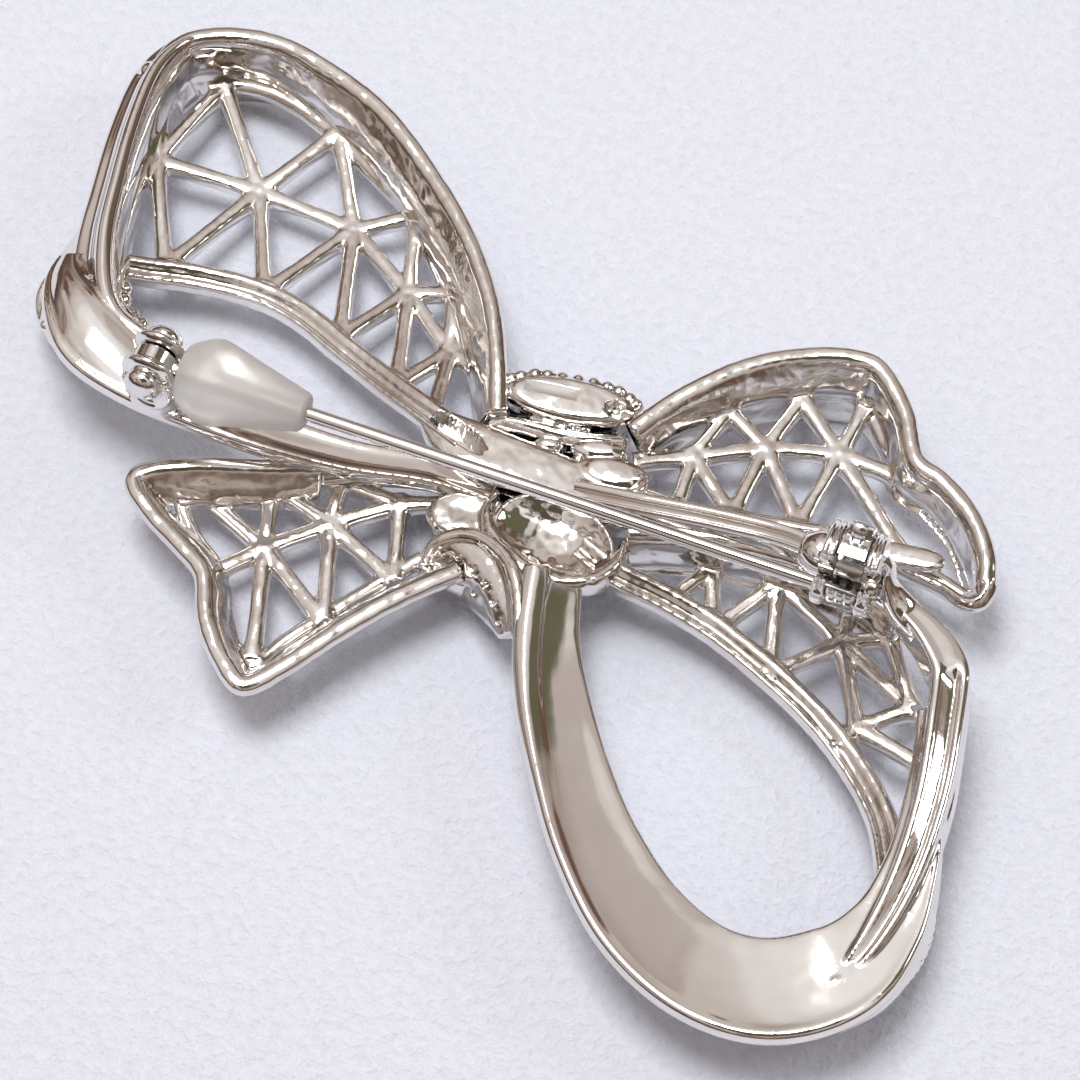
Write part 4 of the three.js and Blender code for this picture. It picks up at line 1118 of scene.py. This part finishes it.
def crystals():
    """Seven stones along each fold, and twelve on the strap over the knot's front."""
    for i, (x, y) in enumerate(smooth([[-28.4, 14.8], [-27.9, 10.6], [-27.8, 5.6]], 3)):
        stone(f"crystal_fold_a_{i + 1}", x, y, 1.72)
    for i, (x, y, z) in enumerate(smooth([[23.0, -3.8, 1.45], [24.1, -9.2, 1.05], [23.6, -16.2, 0.5]], 3)):
        stone(f"crystal_fold_b_{i + 1}", x, y, z)
    for row in range(4):
        for column in (-1, 0, 1):
            stone(f"crystal_knot_{row + 1}_{column + 2}", -1.0 + column * 2.1, 6.1 - row * 2.1,
                  0.35 if column == 0 else 0.41, 0.8)


# ---- floor, light and camera ---------------------------------------------------------
def cloth_floor():
    bpy.ops.mesh.primitive_plane_add(size=FLOOR_SIZE, location=(0, 0, -FLOOR_DROP))
    floor = bpy.context.object
    floor.name = "floor"
    floor.data.materials.append(pale_cloth())


def scaled(tree, source, factor, offset):
    """source * factor + offset, where offset may itself be a node's output."""
    node = tree.nodes.new("ShaderNodeMath")
    node.operation = "MULTIPLY_ADD"
    node.inputs[1].default_value = factor
    tree.links.new(source, node.inputs[0])
    if isinstance(offset, float):
        node.inputs[2].default_value = offset
    else:
        tree.links.new(offset, node.inputs[2])
    return node.outputs[0]


def product(tree, a, b):
    node = tree.nodes.new("ShaderNodeMath")
    node.operation = "MULTIPLY"
    tree.links.new(a, node.inputs[0])
    tree.links.new(b, node.inputs[1])
    return node.outputs[0]


def mix(tree, factor, base, colour):
    """base where factor is 0, and a plain colour where it is 1."""
    node = tree.nodes.new("ShaderNodeMix")
    node.data_type = "RGBA"
    tree.links.new(factor, node.inputs[0])
    tree.links.new(base, node.inputs[6])
    node.inputs[7].default_value = (*colour, 1)
    return node.outputs[2]


def patch(tree, around, towards, scale, uneven, stops):
    """A soft-edged patch of the room in one direction."""
    node = tree.nodes.new("ShaderNodeVectorMath")
    node.operation = "DOT_PRODUCT"
    node.inputs[1].default_value = towards
    tree.links.new(around, node.inputs[0])
    return ramp(tree, scaled(tree, grain(tree, around, scale, 2), uneven, node.outputs["Value"]), stops)


def room_walls(tree, around, height):
    """Dim below, with uneven brown patches, and paler towards the ceiling."""
    level = scaled(tree, grain(tree, around, 2.6, 2), 0.9, scaled(tree, height, 1.0, -0.47))
    shades = ramp(tree, level, [
        (0.0, (0.05, 0.033, 0.025)), (0.22, (0.10, 0.07, 0.055)), (0.38, (0.24, 0.19, 0.16)),
        (0.6, (0.42, 0.37, 0.34)), (0.82, (0.52, 0.48, 0.46)), (1.0, (0.74, 0.72, 0.71))])
    blotches = grain(tree, stretched(tree, around, (1, 1, 1.6)), 3.3, 2, 0.4)
    brown = product(tree, ramp(tree, blotches, [(0.52, 0.0), (0.6, 1.0)]),
                    ramp(tree, height, [(0.62, 1.0), (0.76, 0.0)]))
    return mix(tree, brown, shades, WALL_BROWN)


def studio(away):
    """A warm room: its walls, a doorway, the dark shape of someone leaning over, and an olive corner."""
    world = bpy.data.worlds.new("studio")
    bpy.context.scene.world = world
    world.use_nodes = True
    tree = world.node_tree
    tree.nodes.clear()
    out = tree.nodes.new("ShaderNodeOutputWorld")
    back = tree.nodes.new("ShaderNodeBackground")
    back.inputs["Strength"].default_value = ROOM_LIGHT
    tree.links.new(back.outputs[0], out.inputs[0])
    around = tree.nodes.new("ShaderNodeTexCoord").outputs["Generated"]
    split = tree.nodes.new("ShaderNodeSeparateXYZ")
    tree.links.new(around, split.inputs[0])
    room = room_walls(tree, around, split.outputs["Z"])
    doorway = patch(tree, around, DOORWAY, scale=7, uneven=0.05, stops=[(0.996, 0.0), (1.0, 0.42)])
    figure = patch(tree, around, away, scale=4, uneven=0.1, stops=[(0.975, 0.0), (0.99, 1.0)])
    corner = patch(tree, around, CORNER, scale=5, uneven=0.06, stops=[(0.962, 0.0), (0.978, 1.0)])
    room = mix(tree, doorway, room, DOOR_BROWN)
    room = mix(tree, figure, room, DARK_CLOTHES)
    room = mix(tree, corner, room, OLIVE)
    tree.links.new(room, back.inputs["Color"])


def panel(name, where, size, power, colour):
    """A soft rectangular lamp that faces the origin."""
    data = bpy.data.lights.new(name, "AREA")
    data.shape = "RECTANGLE"
    data.size, data.size_y = size
    data.energy = power
    data.color = colour
    lamp = bpy.data.objects.new(name, data)
    lamp.location = where
    lamp.rotation_euler = (Vector((0, 0, 0)) - Vector(where)).to_track_quat("-Z", "Y").to_euler()
    bpy.context.scene.collection.objects.link(lamp)


def photograph_camera(away):
    lens = bpy.data.cameras.new("camera")
    lens.lens = FOCAL_LENGTH
    lens.sensor_width = SENSOR_WIDTH
    lens.clip_start = NEAR
    lens.clip_end = FAR
    camera = bpy.data.objects.new("camera", lens)
    camera.location = AIM + away * DISTANCE
    camera.rotation_euler = (-away).to_track_quat("-Z", "Y").to_euler()
    bpy.context.scene.collection.objects.link(camera)
    bpy.context.scene.camera = camera


def stage():
    away = Vector((math.sin(AZIMUTH) * math.cos(ELEVATION), -math.cos(AZIMUTH) * math.cos(ELEVATION),
                   math.sin(ELEVATION)))
    cloth_floor()
    bpy.context.scene.view_settings.view_transform = "Standard"
    studio(away)
    panel("ceiling", where=(-0.07, 0.035, 0.45), size=(0.19, 0.19), power=1.38, colour=(1, 0.99, 0.98))
    panel("window", where=(0.42, 0.22, 0.34), size=(0.12, 0.2), power=0.45, colour=(0.95, 0.97, 1))
    photograph_camera(away)


loop_a_openwork()
loop_a_ribbon()
loop_b_openwork()
loop_b_ribbon()
tail_c_openwork()
bridge_bar()
tail_d_openwork()
knot_wrap()
knot_core()
knot_dish()
hinge_bracket()
hinge_rivet()
pin_stem()
pin_guard()
catch_body()
catch_drum()
crystals()
stage()
